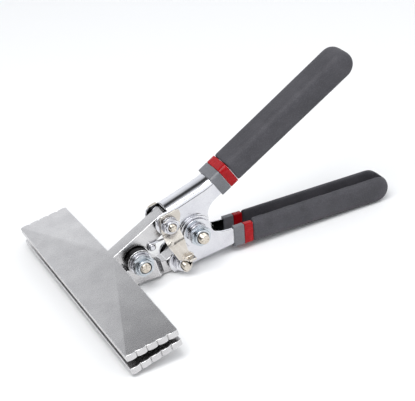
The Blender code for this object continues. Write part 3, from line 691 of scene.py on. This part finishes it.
def spring():
    """The wire spring, whose coil sits on the handles' pivot and whose leg pushes the jaw at its post."""
    x, z = HANDLE_PIVOT
    turns = COIL_TURNS + 0.25
    per_turn = 40
    points = []
    for i in range(round(turns * per_turn) + 1):
        a = 2 * math.pi * i / per_turn
        y = COIL_HALF - 2 * COIL_HALF * i / (turns * per_turn)
        points.append(Vector(around(HANDLE_PIVOT, COIL_RADIUS, a, y)))
    px, pz = SPRING_POST
    eye = POST_RADIUS + GAP + WIRE
    leg = [points[-1], Vector((x - LEG_START, -LEG_Y + 0.4, z + COIL_RADIUS)),
           Vector((x - 8.0, -LEG_Y, z + 5.0)), Vector((px + 8.0, -LEG_Y, pz + 1.2)),
           Vector((px + 3.2, -LEG_Y, pz + eye - 0.3))]
    leg += [Vector(around(SPRING_POST, eye, math.radians(70 + 30 * k), -LEG_Y)) for k in range(9)]
    bm = bmesh.new()
    tube(bm, points[:-1] + smooth_line(leg, 6), WIRE, 12)
    bm.transform(TOOL)
    bmesh.ops.recalc_face_normals(bm, faces=bm.faces)
    mesh = settled(bm, "spring_wire")
    mesh.materials.append(MATERIALS["bright_zinc"])
    mesh.shade_smooth()
    obj = placed("spring_wire", mesh)
    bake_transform(obj)
    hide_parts("opening_spring")


def post():
    """The spring's post, with a domed head."""
    head = -LEG_Y - WIRE - GAP - POST_HEAD
    bm = bmesh.new()
    revolve(bm, SPRING_POST, [(0.0, head), (1.0, head + 0.08), (1.6, head + 0.28), (1.9, head + 0.55),
                              (1.9, head + 0.78), (1.78, head + POST_HEAD), (POST_RADIUS, head + POST_HEAD),
                              (POST_RADIUS, POST_ROOT), (0.0, POST_ROOT)], 48, closed=False)
    bmesh.ops.remove_doubles(bm, verts=bm.verts, dist=WELD)
    from_tool("spring_post_shape", bm, "bright_zinc", "upper_jaw", ("spring_post",), sharp=50.0)


# ---------------- jaws

# Heights are above the plane between the jaws, and "back" is towards the handles
BLADE_WIDTH = 152.4
BLADE_DEPTH = 29.6
BLADE_SHIFT = -5.5  # the blade's middle along Y
BLADE_BACK = -11.7
BLADE_FRONT = BLADE_BACK - BLADE_DEPTH
MOUTH_BACK = 1.33
MOUTH_FRONT = 2.45
BLADE_TOP_FRONT = 6.3
BLADE_TOP_CORNER = 4.9
BLADE_TOP_ARM = 8.3  # height of the blade's back where the arm leaves it
SCALLOPS = 5
SCALLOP_BULGE = 1.0

ARM_HALF = 4.2
ARM_INNER = 2.1  # height of the arm's inner side in the blade
ARM_SUNK = 3.0  # how far the arm runs into the blade
TAIL_RADIUS = 5.0
LAP_RADIUS = 7.2
LAP_POCKET = 7.7
LAP_PLANE = 0.15  # each eye stops this far from the tool's middle plane
BOSS_FACE = 8.6
ARM_RISE = 14.7
LOWER_ARM_RISE = 10.5
LOWER_ARM_FACE = 7.3
SHOULDER = [(-9.6, 10.9), (-7.6, 12.5), (-5.2, 13.4)]
LOWER_ROOT_REACH = (12.4, 8.6)  # how far back the thick root runs, at the arm's side and at its face
NECK_CORNER = (7.5, 2.9)
NECK_SLOPE = 1.45
LOWER_NECK = [(15.5, 10.3), (12.6, 9.8), NECK_CORNER]
LOWER_HEEL = [(8.6, 15.95), (11.4, 17.4), (15.0, 18.5)]
POST_LUG = [(13.5, 4.4), (12.0, 1.2), (8.6, 0.9)]
PIVOT_BORE = 3.35
OPEN_PIVOT_BORE = 3.65
LINK_BORE = 2.4


def blade_wedge():
    """The blade's body: a flat gripping face, and a back that rises to the arm's width."""
    half = BLADE_WIDTH / 2 + 1.0
    low, high = BLADE_SHIFT - half, BLADE_SHIFT + half
    bm = bmesh.new()
    face = [bm.verts.new(p) for p in ((BLADE_FRONT, low, MOUTH_FRONT), (BLADE_BACK, low, MOUTH_BACK),
                                      (BLADE_BACK, high, MOUTH_BACK), (BLADE_FRONT, high, MOUTH_FRONT))]
    front = [bm.verts.new((BLADE_FRONT, y, BLADE_TOP_FRONT)) for y in (low, high)]
    back = [bm.verts.new((BLADE_BACK, y, z)) for y, z in
            ((low, BLADE_TOP_CORNER), (-ARM_HALF, BLADE_TOP_ARM), (ARM_HALF, BLADE_TOP_ARM),
             (high, BLADE_TOP_CORNER))]
    for loop in (face, (face[0], face[3], front[1], front[0]),
                 (face[1], face[2], back[3], back[2], back[1], back[0]),
                 (face[0], face[1], back[0], front[0]), (face[3], face[2], back[3], front[1]),
                 (front[0], back[1], back[2], front[1]), (front[0], back[0], back[1]),
                 (front[1], back[2], back[3])):
        bm.faces.new(loop)
    return bm


def scalloped_plan():
    """A block with the blade's plan, whose two ends are rows of shallow scallops."""
    pitch = BLADE_DEPTH / SCALLOPS
    steps = 16
    end = []
    for i in range(SCALLOPS):
        for k in range(steps):
            t = (1 - math.cos(math.pi * k / steps)) / 2
            bulge = SCALLOP_BULGE * math.sqrt(1 - (2 * t - 1) ** 2)
            end.append((BLADE_FRONT + (i + t) * pitch, bulge))
    end.append((BLADE_BACK, 0.0))
    half = BLADE_WIDTH / 2 - SCALLOP_BULGE
    plan = [(x, BLADE_SHIFT - half - bulge) for x, bulge in end]
    plan += [(x, BLADE_SHIFT + half + bulge) for x, bulge in reversed(end)]
    bm = bmesh.new()
    low = [bm.verts.new((x, y, -1.0)) for x, y in plan]
    high = [bm.verts.new((x, y, BLADE_TOP_ARM + 1.0)) for x, y in plan]
    capped(bm, [low, high])
    return bm


def arm_root():
    """The end of the arm's outline that is sunk in the blade."""
    return [(BLADE_BACK, ARM_INNER), (BLADE_BACK - ARM_SUNK, ARM_INNER),
            (BLADE_BACK - ARM_SUNK, BLADE_TOP_ARM - ARM_SUNK * math.tan(math.radians(ARM_RISE))),
            (BLADE_BACK, BLADE_TOP_ARM)]


def curved(points, steps=6):
    """The points, with a smooth curve through them."""
    line = smooth_line([Vector((x, z, 0)) for x, z in points], steps)
    return [(p.x, p.y) for p in line]


def upper_arm():
    """Side view of the upper arm and its tail, with the lug for the spring's post."""
    tail = arc(UPPER_LINK, TAIL_RADIUS, 90 + ARM_RISE, -62, 40)
    return arm_root() + tail + curved(POST_LUG)


def lower_arm():
    """Side view of the lower arm and its tail, drawn on the upper side."""
    tail = arc(UPPER_LINK, TAIL_RADIUS, 92, -120, 40)
    return arm_root() + curved(SHOULDER) + curved(LOWER_HEEL) + tail + LOWER_NECK


def lower_root(reach):
    """Side view of the thick root of the lower arm, up to one distance from the pivot."""
    x, z = SHOULDER[-1]
    edge = z + (reach - x) * math.tan(math.radians(LOWER_ARM_RISE))
    inner = NECK_CORNER[1] + (reach - NECK_CORNER[0]) * NECK_SLOPE
    return arm_root() + curved(SHOULDER) + [(reach, edge), (reach, inner), NECK_CORNER]


def flipped(bm, lower):
    """Turns a mesh of the upper side into one of the lower side."""
    if lower:
        bmesh.ops.transform(bm, matrix=Matrix.Scale(-1, 4, (0, 0, 1)), verts=bm.verts)
        bmesh.ops.reverse_faces(bm, faces=bm.faces)
    return bm


def crease_facets(bm):
    """Keeps the shallow ridges between the blade's facets crisp."""
    bmesh.ops.recalc_face_normals(bm, faces=bm.faces)
    for edge in bm.edges:
        if len(edge.link_faces) == 2 and edge.calc_face_angle(0.0) > math.radians(1.2):
            edge.smooth = not all(abs(f.normal.z) > 0.98 for f in edge.link_faces)


def jaw(lower):
    """A forged jaw: its blade, its arm, the half-lap eye and the tail, with its edges broken."""
    link = LOWER_LINK if lower else UPPER_LINK
    steps = [("INTERSECT", flipped(scalloped_plan(), lower)),
             ("UNION", flipped(prism(lower_arm() if lower else upper_arm(), -ARM_HALF, ARM_HALF), lower))]
    if lower:
        side, face = LOWER_ROOT_REACH
        root = prism(lower_root(side), -LOWER_ARM_FACE, -ARM_HALF + 0.25, lower_root(face))
        steps += [("UNION", flipped(root, lower)),
                  ("DIFFERENCE", disc(JAW_PIVOT, LAP_POCKET, -LAP_PLANE, ARM_HALF + 1)),
                  ("UNION", disc(JAW_PIVOT, LAP_RADIUS, -BOSS_FACE, -LAP_PLANE))]
    else:
        steps += [("DIFFERENCE", disc(JAW_PIVOT, LAP_POCKET, -ARM_HALF - 1, LAP_PLANE)),
                  ("UNION", disc(JAW_PIVOT, LAP_RADIUS, LAP_PLANE, ARM_HALF))]
    steps += [("DIFFERENCE", disc(JAW_PIVOT, PIVOT_BORE if lower else OPEN_PIVOT_BORE, -THROUGH, THROUGH)),
              ("DIFFERENCE", disc(link, LINK_BORE, -THROUGH, THROUGH))]
    bm = combined(flipped(blade_wedge(), lower), steps)
    broken_edges(bm, width=0.32, segments=3, angle=24.0)
    crease_facets(bm)
    # painted shade on the boss's side and in the pocket round it, where the gap lies in shadow
    mark_painted_shade(bm, lambda p, n: abs(n.y) < 0.3 and abs(p.y) < BOSS_FACE - 0.4
              and LAP_RADIUS - 0.3 < math.hypot(p.x, p.z) < LAP_POCKET + 0.1)
    node = "lower_jaw" if lower else "upper_jaw"
    from_tool(f"{node}_forging", bm, "satin_steel", node, (node,), sharp=30.0)


# ---------------- handles

SHEET = 1.5
CHANNEL_HALF = 7.3
CHANNEL_INSIDE = CHANNEL_HALF - SHEET
BAR_HALF = 5.8  # half the bar's depth, seen from the side
# Where the web turns down to the link, as (along the bar, out from its edge)
UPPER_WEB = [(-8.5, 0.0)]
LOWER_WEB = [(-6.8, 0.0), (-7.8, 0.8)]
BAR_STEEL_END = 70.0
UPPER_THROAT = [(44.0, 1.4), (45.3, 3.4), (46.2, 6.8), (48.8, 10.2), (53.0, 12.5)]
LOWER_THROAT = [(44.0, 1.4), (45.3, 3.4), (46.4, 6.2), (49.4, 8.7), (53.6, 10.2)]
WEB_FRONT = (24.7, 21.2)
WEB_TURN = 6.0  # how far from the corner the turn starts and ends
LINK_EAR = 7.0
PIVOT_EAR_INSIDE = 8.4
PIVOT_EAR_OUTSIDE = 9.2
JOGGLE_INSIDE = 8.85
JOGGLE_OUTSIDE = 9.9
JOGGLE_SWEEP = (22, 152)  # the step from the upper wall out to its ear, in degrees round the pivot
EAR_INNER_FACE = CHANNEL_HALF + GAP
EAR_OUTER_FACE = EAR_INNER_FACE + SHEET
BEND_ACROSS = 6.0  # the web's long edges are elliptical bends, this wide and this high
BEND_DOWN = 2.5
CROWN = 1.1  # the web is a little higher along its middle


def disc(centre, radius, low, high):
    """A round solid along Y."""
    return prism(circle(centre, radius, ROUND_STEPS), low, high)


def bar_point(along, across, bar):
    """A place given along and across a bar, in the tool frame."""
    x, z, slope = bar
    a = math.radians(slope)
    return (x + along * math.cos(a) - across * math.sin(a),
            z + along * math.sin(a) + across * math.cos(a))


def on_bar(places, bar):
    """Several places given along and across a bar, in the tool frame."""
    return [bar_point(along, across, bar) for along, across in places]


def web_path(bar, inset=0.0):
    """Outer edge of the channel, from its steel end in the grip to its front over the link."""
    turn = LOWER_WEB if bar is LOWER_BAR else UPPER_WEB
    start = bar_point(turn[0][0] + WEB_TURN, BAR_HALF - inset, bar)
    along, out = turn[-1]
    corner = Vector(bar_point(along, BAR_HALF + out - inset, bar))
    end = (WEB_FRONT[0], WEB_FRONT[1] - inset)
    near = corner + (Vector(end) - corner).normalized() * WEB_TURN
    return ([bar_point(BAR_STEEL_END, BAR_HALF - inset, bar), start]
            + turned(Vector(start), corner, near, 8) + [end])


def wall_outline(bar, throat, inset):
    """Side view of the channel at one distance from its middle, where its web has come down by inset."""
    ear = arc(UPPER_LINK, LINK_EAR, 70, 247, 40)
    ear = [(x, min(z, WEB_FRONT[1] - inset - 0.05)) for x, z in ear]
    inner = on_bar([(-5.0, -BAR_HALF), (BAR_STEEL_END, -BAR_HALF)], bar)
    return web_path(bar, inset) + ear + [HANDLE_PIVOT] + curved(throat + inner[:1]) + inner[1:]


def bend(y):
    """How far the web has come down at a distance from the channel's middle."""
    u = max(0.0, (abs(y) - CHANNEL_HALF + BEND_ACROSS) / BEND_ACROSS)
    return BEND_DOWN * (1 - math.sqrt(max(0.0, 1 - u * u))) + CROWN * (y / CHANNEL_HALF) ** 2


def channel_body(bar, throat):
    """The channel as a solid, from slices across it that follow the bends of its web."""
    half = [CHANNEL_HALF * math.sin(math.pi / 2 * k / 16) for k in range(1, 17)]
    stations = [-y for y in reversed(half)] + [0.0] + half
    bm = bmesh.new()
    slices = [[bm.verts.new((x, y, z)) for x, z in wall_outline(bar, throat, bend(y))] for y in stations]
    capped(bm, slices)
    return bm


def channel_inside(bar):
    """Side view of all that is cut out of the channel between its walls."""
    path = web_path(bar, SHEET)
    front, top = WEB_FRONT
    beyond = BAR_STEEL_END + 5
    return ([bar_point(beyond, BAR_HALF - SHEET, bar)] + path[1:]
            + [(front - GAP, top - SHEET), (front - GAP, top + 1), (0.0, top + 1), (0.0, -20.0),
               bar_point(beyond, -40.0, bar)])


def handle(lower):
    """A pressed channel. The upper one's ears are stepped out to pass over the lower one's."""
    bar = LOWER_BAR if lower else UPPER_BAR
    inside = prism(channel_inside(bar), -CHANNEL_INSIDE, CHANNEL_INSIDE)
    steps = [("DIFFERENCE", flipped(inside, lower))]
    if lower:
        for low in (-CHANNEL_HALF, CHANNEL_INSIDE):
            steps.append(("UNION", disc(HANDLE_PIVOT, PIVOT_EAR_INSIDE, low, low + SHEET)))
    else:
        steps.append(("DIFFERENCE", disc(HANDLE_PIVOT, JOGGLE_INSIDE, -THROUGH, THROUGH)))
        first, last = JOGGLE_SWEEP
        step = arc(HANDLE_PIVOT, JOGGLE_OUTSIDE, first, last, 32)
        step += arc(HANDLE_PIVOT, JOGGLE_INSIDE, last, first, 32)
        for side in (-1, 1):
            low, high = sorted((side * CHANNEL_INSIDE, side * EAR_OUTER_FACE))
            steps.append(("UNION", prism(step, low, high)))
            low, high = sorted((side * EAR_INNER_FACE, side * EAR_OUTER_FACE))
            steps.append(("UNION", disc(HANDLE_PIVOT, PIVOT_EAR_OUTSIDE, low, high)))
    link = LOWER_LINK if lower else UPPER_LINK
    steps += [("DIFFERENCE", disc(HANDLE_PIVOT, PIVOT_BORE, -THROUGH, THROUGH)),
              ("DIFFERENCE", disc(link, LINK_BORE, -THROUGH, THROUGH))]
    bm = combined(flipped(channel_body(bar, LOWER_THROAT if lower else UPPER_THROAT), lower), steps)
    broken_edges(bm, width=0.22, segments=2, angle=40.0)
    # painted shade on the channel's inner faces, which lie in shadow
    inward = 1 if lower else -1
    mark_painted_shade(bm, lambda p, n: abs(p.y) < CHANNEL_INSIDE + 0.02
              and (n.y * p.y < -0.5 or n.z * inward > 0.3))
    node = "lower_handle" if lower else "upper_handle"
    from_tool(f"{node}_channel", bm, "bright_zinc", node, (node,), sharp=35.0)


# ---------------- grips

# Each sleeve's start and end along the bar, and its thickness
COLLAR = (-6.6, -0.15, 0.9)
RING = (0.0, 5.4, 0.9)
GRIP = (5.55, 98.6, 1.25)
GRIP_LIP = 1.2  # how much further a grip's walls reach on the open side than a ring's
GRIP_ROUNDING = 4.2
GRIP_FLARE = 1.0  # how much deeper the grip's walls are at the tip than at the ring
SLEEVE_ROUNDING = 2.6
SLEEVE_VOXEL = 0.25  # grid and rounds of smoothing for the collars and rings
SLEEVE_ROUNDS = 6
GRIP_VOXEL = 0.4  # and for the grips
GRIP_ROUNDS = 60
GRIP_TIP_WALL = 2.6
GRIP_TIP_SLOPE = 3.5  # how much further the hollow runs along the open side than under the web


def sleeve_outline(start, end, thick, bar, tip):
    """Side view of a sleeve round the bar. A grip has a round tip."""
    top, low = BAR_HALF + thick, -BAR_HALF - thick
    if not tip:
        return on_bar([(start, low), (end, low), (end, top), (start, top)], bar)
    low -= GRIP_LIP
    first = (start, low)
    low -= GRIP_FLARE
    radius, middle = (top - low) / 2, (top + low) / 2
    round_tip = arc((end - radius, middle), radius, -90, 90, 40)
    return on_bar([first] + round_tip + [(start, top)], bar)


def sleeve_hollow(start, end, thick, bar, tip):
    """Side view of the space inside a sleeve. In a grip it slopes up to a saddle at the tip."""
    under, low = BAR_HALF - SHEET - thick, -BAR_HALF - 6
    if not tip:
        return on_bar([(start - 1, low), (end + 1, low), (end + 1, under), (start - 1, under)], bar)
    stop = end - GRIP_TIP_WALL
    return on_bar([(start - 1, low), (stop, low), (stop - GRIP_TIP_SLOPE / 2, -1.0),
                   (stop - GRIP_TIP_SLOPE, under), (start - 1, under)], bar)


def sleeve(node, spec, lower, voxel, rounds, tip=False):
    """A vinyl sleeve: a soft U over the channel. A grip is closed at its tip."""
    start, end, thick = spec
    bar = LOWER_BAR if lower else UPPER_BAR
    outer = CHANNEL_HALF + thick
    outline = sleeve_outline(start, end, thick, bar, tip)
    body = prism(outline, -outer, outer)
    opening = (outline[0], outline[-1])
    web_edge = outline[-2:]

    def among(co, points):
        return any(abs(co.x - x) < 0.01 and abs(co.z - z) < 0.01 for x, z in points)

    def is_rim(edge):
        ends = [v.co for v in edge.verts]
        if ends[0].y * ends[1].y < 0:
            return False
        return not all(among(c, opening) for c in ends) if tip else all(among(c, web_edge) for c in ends)

    rounding = GRIP_ROUNDING if tip else SLEEVE_ROUNDING
    bmesh.ops.bevel(body, geom=[e for e in body.edges if is_rim(e)], offset=rounding, segments=8,
                    profile=0.5, affect="EDGES")
    inside = CHANNEL_INSIDE - thick
    hollow = prism(sleeve_hollow(start, end, thick, bar, tip), -inside, inside)
    bm = combined(flipped(body, lower), [("DIFFERENCE", flipped(hollow, lower))])
    bm.transform(TOOL)
    mesh = softened(bm, voxel, rounds)
    mesh.name = f"{node}_skin"
    finish_piece(f"{node}_skin", mesh, slot_of(node), body_of(node), (node,), sharp=180.0)


# ---------------- every fastener

WASHER = 1.0
PIVOT_SHANK = 3.05  # radius
PIVOT_FLATS = 11.1
PIVOT_HEAD = 4.0
PIVOT_NUT = 4.6
PIVOT_THREAD = 1.0  # pitch
PIVOT_COLLAR = 1.7  # height of the lock nut's collar
LOCK_RADIUS = 5.9
LOCK_HEIGHT = 1.4
BUSH_RADIUS = 4.1
LINK_SHANK = 2.1
LINK_FLATS = 8.7
LINK_HEAD = 3.0
LINK_NUT = 3.3
LINK_THREAD = 0.7
LINK_COLLAR = 1.0
LINK_END = -15.4  # end of the link bolts, and where their thread starts
LINK_PLAIN = -8.0
LINK_WASHER = 4.9
LINK_SPACER = 5.0


def pivot_fasteners(name, centre, far_face, near_face, end, plain, radius):
    """A pivot's bolt, and out from the near face its washer, spring washer and lock nut."""
    head = far_face + GAP
    bolt(f"{name}_bolt", centre, PIVOT_SHANK, PIVOT_FLATS, head, head + PIVOT_HEAD, end, PIVOT_THREAD, plain)
    y = -near_face - GAP - WASHER
    washer(f"{name}_washer", centre, PIVOT_BORE, radius, y, y + WASHER)
    y -= GAP + LOCK_HEIGHT
    lock_washer(f"{name}_lock_washer", centre, PIVOT_BORE, LOCK_RADIUS, y, y + LOCK_HEIGHT)
    y -= GAP + PIVOT_NUT
    nut(f"{name}_nut", centre, PIVOT_FLATS, PIVOT_BORE, y, y + PIVOT_NUT, PIVOT_COLLAR)


def link_fasteners(side, centre, near_face):
    """A link's bolt, its washer and lock nut, and the spacers between the jaw's tail and the walls."""
    head = CHANNEL_HALF + GAP
    bolt(f"{side}_link_bolt", centre, LINK_SHANK, LINK_FLATS, head, head + LINK_HEAD, LINK_END, LINK_THREAD,
         LINK_PLAIN)
    y = -near_face - GAP - WASHER
    washer(f"{side}_link_washer", centre, LINK_BORE, LINK_WASHER, y, y + WASHER)
    y -= GAP + LINK_NUT
    nut(f"{side}_link_nut", centre, LINK_FLATS, LINK_BORE, y, y + LINK_NUT, LINK_COLLAR)
    low, high = ARM_HALF + GAP, CHANNEL_INSIDE - GAP
    washer(f"{side}_link_spacer_far", centre, LINK_BORE, LINK_SPACER, low, high)
    washer(f"{side}_link_spacer_near", centre, LINK_BORE, LINK_SPACER, -high, -low)


def fasteners():
    """Every bolt, nut, washer, spacer and bush."""
    pivot_fasteners("jaw_pivot", JAW_PIVOT, ARM_HALF, BOSS_FACE, end=-16.9, plain=-9.0, radius=6.7)
    pivot_fasteners("handle_pivot", HANDLE_PIVOT, EAR_OUTER_FACE, EAR_OUTER_FACE, end=-19.6, plain=-10.0,
                    radius=8.6)
    bush = bmesh.new()
    half = CHANNEL_INSIDE - GAP
    revolve(bush, HANDLE_PIVOT, rounded_ring(PIVOT_BORE, BUSH_RADIUS, -half, half, 0.25))
    from_tool("handle_pivot_bush_shape", bush, "satin_steel", "lower_handle", ("handle_pivot_bush",))
    link_fasteners("upper", UPPER_LINK, LATCH_LOW + LATCH_SHEET / 2)
    link_fasteners("lower", LOWER_LINK, CHANNEL_HALF)


# ---------------- light, floor and camera

def light(name, energy, size, place, target):
    """A rectangular lamp that faces a target."""
    data = bpy.data.lights.new(name, "AREA")
    data.shape = "RECTANGLE"
    data.size, data.size_y = size
    data.energy = energy
    obj = placed(name, data)
    obj.location = place
    obj.rotation_euler = (Vector(target) - Vector(place)).to_track_quat("-Z", "Y").to_euler()


FLOOR_HALF = 3  # metres
FLOOR_TONE = 0.92
# Brightness of the tent from its foot up, as (height on the unit sphere, tone)
TENT_FRONT = [(0.0, 0.05), (0.14, 0.06), (0.30, 0.7), (0.6, 1.4), (1.0, 1.1)]
TENT_BACK = [(0.0, 1.2), (0.50, 1.2), (0.66, 0.72), (0.72, 0.10), (0.84, 0.04), (0.93, 0.10), (1.0, 1.0)]


def studio(tree):
    """A white tent with dark gaps: low in front, half way up behind and low on the left."""
    coord = tree.nodes.new("ShaderNodeTexCoord")
    split = tree.nodes.new("ShaderNodeSeparateXYZ")
    tree.links.new(coord.outputs["Generated"], split.inputs["Vector"])
    behind = remap(tree, split.outputs["Y"], -0.15, 0.25, 0.0, 1.0)
    ramps = []
    for stops in (TENT_FRONT, TENT_BACK):
        ramp = tree.nodes.new("ShaderNodeValToRGB")
        tree.links.new(split.outputs["Z"], ramp.inputs["Fac"])
        marks = ramp.color_ramp.elements
        while len(marks) < len(stops):
            marks.new(0.5)
        for mark, (place, tone) in zip(marks, stops):
            mark.position = place
            mark.color = (tone * 0.95, tone * 0.97, tone, 1.0)
        ramps.append(ramp.outputs["Color"])
    low = remap(tree, split.outputs["Z"], 0.45, 0.6, 1.0, 0.0)
    left = remap(tree, split.outputs["X"], -0.50, -0.25, 0.93, 0.0)
    gap = add_up(tree, low, left, "MULTIPLY")
    colour = mix_colour(tree, behind, ramps[0], ramps[1])
    colour = mix_colour(tree, gap, colour, (0.0, 0.0, 0.0))
    background = tree.nodes["Background"]
    tree.links.new(colour, background.inputs["Color"])
    background.inputs["Strength"].default_value = 1.0


def stage():
    """The floor, the tent and the two lamps."""
    bm = bmesh.new()
    corners = [bm.verts.new((x * FLOOR_HALF, y * FLOOR_HALF, 0))
               for x, y in ((-1, -1), (1, -1), (1, 1), (-1, 1))]
    bm.faces.new(corners)
    mesh = settled(bm, "floor")
    mat, _, shader = new_material("floor_paper")
    shader.inputs["Base Color"].default_value = (FLOOR_TONE, FLOOR_TONE, FLOOR_TONE, 1.0)
    shader.inputs["Roughness"].default_value = 0.9
    shader.inputs["Specular IOR Level"].default_value = 0.1
    mesh.materials.append(mat)
    floor = placed("floor", mesh)
    world = bpy.data.worlds.new("studio")
    bpy.context.scene.world = world
    world.use_nodes = True
    studio(world.node_tree)
    light("key", 5.8, (0.6, 0.6), (-0.35, -0.25, 0.95), (0, 0, 0.02))
    light("side", 1.2, (0.4, 0.8), (0.9, -0.5, 0.55), (0, 0, 0.03))


def camera():
    """The camera at the photograph's viewing angle. The Standard view keeps the white background white."""
    bpy.context.scene.view_settings.view_transform = "Standard"
    data = bpy.data.cameras.new("camera")
    data.lens = CAMERA_LENS
    data.sensor_width = SENSOR
    data.clip_start = 0.01
    obj = placed("camera", data)
    turn = TOOL.to_3x3().normalized()
    right = turn @ Vector(CAMERA_RIGHT)
    up = turn @ -Vector(CAMERA_DOWN)
    obj.matrix_world = (Matrix.Translation(TOOL @ Vector(CAMERA_PLACE))
                        @ Matrix((right, up, right.cross(up))).transposed().to_4x4())
    bpy.context.scene.camera = obj


def build():
    """Every piece, then the floor, the light and the camera."""
    for lower in (False, True):
        jaw(lower)
        handle(lower)
        side = "lower" if lower else "upper"
        sleeve(f"{side}_collar", COLLAR, lower, SLEEVE_VOXEL, SLEEVE_ROUNDS)
        sleeve(f"{side}_grip_ring", RING, lower, SLEEVE_VOXEL, SLEEVE_ROUNDS)
        sleeve(f"{side}_grip", GRIP, lower, GRIP_VOXEL, GRIP_ROUNDS, tip=True)
    fasteners()
    latch()
    spring()
    post()
    stage()
    camera()


build()
